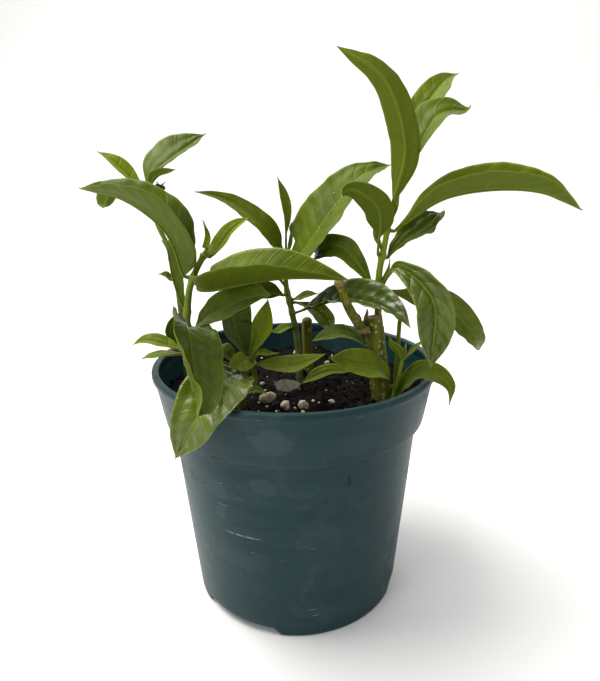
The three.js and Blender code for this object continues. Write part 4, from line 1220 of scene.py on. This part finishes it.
def build_small_growth(leaf):
    """Young leaves and buds too slight for a solid of their own, on the stems that the frame gives."""
    young = {
        "shoot_small": [
            ([(53, -33, 143), (50.5, -34, 148), (47, -35.5, 152), (45.5, -36, 155.5)], 4.6, (20, 30), 0.70),
            ([(53, -33, 143), (56.5, -34, 147), (60, -35, 151), (62.5, -36, 153.5)], 4.2, (-10, 10), 0.80),
            ([(53, -33, 143), (53.5, -33.5, 147), (54, -34, 150), (54.3, -34, 152)], 2.4, (60, 60), 0.85),
        ],
        "stem_front": [
            ([(-21, -35, 142), (-19.5, -37, 139), (-19, -38, 135), (-20, -38.5, 131)], 4.2, (40, 50), 0.85),
            ([(-22, -34.5, 144), (-20, -33, 150), (-18.5, -32, 156), (-17.5, -31, 161)], 3.6,
              (70, 80), 0.75),
        ],
        "stem_centre": [
            ([(-3, 18, 186), (-6, 17, 190), (-8, 16, 196), (-8.5, 15, 202)], 3.0, (20, 60), 0.80),
            ([(-3, 18, 187), (-1.5, 17.5, 192), (-0.5, 17, 198), (-0.5, 17, 204)], 2.4, (90, 90), 0.55),
            ([(-4, 18, 170), (-7, 16, 174), (-10, 14, 180), (-10.5, 13, 186)], 2.4, (30, 50), 0.60),
        ],
        "shoot_tall": [
            ([(43.5, -22, 195), (41, -23, 199), (39, -24, 204), (38.6, -24, 208)], 2.8, (20, 40), 0.80),
            ([(46, -22, 208), (48, -23, 212), (49.5, -23.5, 217), (50, -23.5, 221)], 2.4, (40, 60), 0.85),
            ([(42.3, -20.5, 178), (45, -22, 182), (46.5, -22.5, 186), (46.8, -22.5, 190)], 2.4,
              (40, 60), 0.75),
        ],
        "stem_left": [
            ([(-50, -24, 178), (-48, -26, 183), (-46.5, -27, 188), (-46, -27, 192)], 2.4, (20, 40), 0.80),
        ],
    }
    for stem, leaves in young.items():
        shell = Shell()
        for k, (midrib, width, roll, tone) in enumerate(leaves):
            tracks = made_tracks(midrib, width, roll, 22)
            leaf_shell(shell, tracks, np.array(midrib[0], float), tone=tone, quilt=0.05, wave=0.2, veins=4,
                       petiole=0.55, seed=500 + k)
        shell.piece("young_leaves_" + stem, leaf, "leaf")


def build_drops(material, grown):
    """Water drops lying on upper faces, each a flattened cap that sinks a little into the blade."""
    wet = {
        "left_long": [(0.30, 0.55, 0.9), (0.37, 0.75, 0.6), (0.43, 0.45, 0.7), (0.50, 0.7, 0.55),
                      (0.56, 0.5, 0.8),
                      (0.63, 0.62, 0.5), (0.70, 0.55, 0.6)],
        "front_hanging": [(0.55, 0.45, 1.6), (0.62, 0.3, 1.0), (0.45, -0.4, 0.8), (0.7, -0.2, 0.7)],
        "centre_large": [(0.45, 0.3, 0.8), (0.55, -0.35, 0.7), (0.6, 0.4, 0.6), (0.35, 0.2, 0.6),
                         (0.7, -0.2, 0.5)],
        "front_lowest": [(0.25, 0.3, 0.9), (0.32, -0.3, 0.7), (0.4, 0.2, 0.6)],
        "left_back_top": [(0.4, 0.2, 0.6), (0.5, -0.3, 0.5)],
    }
    for name, drops in wet.items():
        top, normal, _, _ = grown[name]
        rows, columns = top.shape[:2]
        shell = Shell()
        for along, across, radius in drops:
            row = int(along * (rows - 1))
            column = int((across * 0.5 + 0.5) * (columns - 1))
            up = normal[row, column]
            points, faces = ball(3)
            side = unit(np.cross(up, (0.2, 0.3, 0.9)))
            other = np.cross(up, side)
            shaped = ((points[:, :1] * side + points[:, 1:2] * other) * radius
                      + points[:, 2:] * up * radius * 0.45)
            shell.add(shaped + top[row, column] + up * radius * 0.12, faces)
        shell.piece("drops_" + name, material, "dew")


def build_floor():
    """A pale sweep: flat under the pot and curving up far behind it."""
    width = 4.0
    path = [(-3.0, 0.0), (0.9, 0.0)]
    bend = 0.8
    for k in range(1, 17):
        turn = math.pi / 2 * k / 16
        path.append((0.9 + bend * math.sin(turn), bend - bend * math.cos(turn)))
    path.append((1.7, 3.5))
    points = [(x, y, z) for y, z in path for x in (-width, width)]
    faces = [(2 * k, 2 * k + 1, 2 * k + 3, 2 * k + 2) for k in range(len(path) - 1)]
    mesh = bpy.data.meshes.new("floor")
    mesh.from_pydata(points, [], faces)
    mesh.polygons.foreach_set("use_smooth", [True] * len(mesh.polygons))
    s = Surface("pale_floor", roughness=0.9, specular=0.1)
    mesh.materials.append(s.finish(s.mix(s.noise(3.0), (0.84, 0.84, 0.84), (0.87, 0.87, 0.87))))
    floor = bpy.data.objects.new("floor", mesh)
    bpy.context.collection.objects.link(floor)


# ---- Everything -----------------------------------------------------------------------------------

place_camera()
light_studio()
build_floor()

LEAF = leaf_material()
SHOOT = shoot_material()
BARK = bark_material()
SOIL = soil_material()
PERLITE = mineral_material()

build_pot(pot_material())
build_soil(SOIL)
build_crumbs(SOIL, PERLITE)
build_flake(litter_material())
build_bud(withered_material())

grown = build_leaves(LEAF)
tones = {"stem_left": (0.55, 0.8), "stem_left_back": (0.35, 0.6), "stem_front": (0.45, 0.7),
         "stem_centre": (0.25, 0.85), "shoot_tall": (0.75, 0.9), "stem_bare": (0.6, 0.8),
         "shoot_small": (0.6, 0.85)}
for number, (name, tone) in enumerate(tones.items()):
    meets = [meet for _, _, meet, stem in grown.values() if stem == name]
    shell = build_stem(name, meets, tone, 40 + number)
    shell.piece("shoot_of_" + name, SHOOT, "shoot", replaces=[name])

shell = Shell()
bark_rod(shell, STEMS["stump_centre"][0], STEMS["stump_centre"][1], 61, 16, False, ends=(0.3, 0.02))
shell.piece("old_stump", BARK, "stump", replaces=["stump_centre"])

shell = Shell()
cane_line = np.array([(45, -24, 90), (45, -24, 116), (43, -24, 134), (41, -23, 150), (39.6, -22.2, 161.2)])
bark_rod(shell, cane_line, [5.4, 5.3, 5.0, 4.75, 4.6], 62, 130, True)
stub_line = np.array([(41, -22.6, 151), (36, -25, 155.2), (32, -28, 159.5), (28.2, -32, 165.6),
                      (25, -36, 172),
                      (22.6, -39.3, 178.4), (20.7, -41.8, 183.4)])
bark_rod(shell, stub_line, [2.9, 2.6, 2.35, 2.2, 2.1, 2.0, 1.9], 63, 18, True)
# Leaf scars swell on the stub, and a splinter stands at the edge of the cane's cut.
knobs = np.random.default_rng(64)
for place, size, bare in (((34.0, -28.2, 156.5), 5.6, 0.45), ((30.5, -31.0, 163.0), 5.0, 0.25),
                          ((24.6, -37.6, 173.5), 4.4, 0.25), ((21.0, -41.6, 182.6), 4.6, 0.55)):
    points, faces = lump(knobs, size, (1, 0.9, 0.8), level=3, rough=0.16)
    shell.add(points + place, faces, cut=bare)
splinter = np.array([(35.6, -24.0, 158.5), (35.8, -24.2, 162.0), (36.4, -24.4, 164.6),
                     (36.2, -24.6, 166.4)])
points, faces = rod(splinter, [1.3, 1.1, 0.7, 0.25], 10)
shell.add(points, faces, cut=0.6)
shell.piece("woody_cane", BARK, "cane", replaces=["cane_main"])

build_small_growth(LEAF)
build_drops(water_material(), grown)
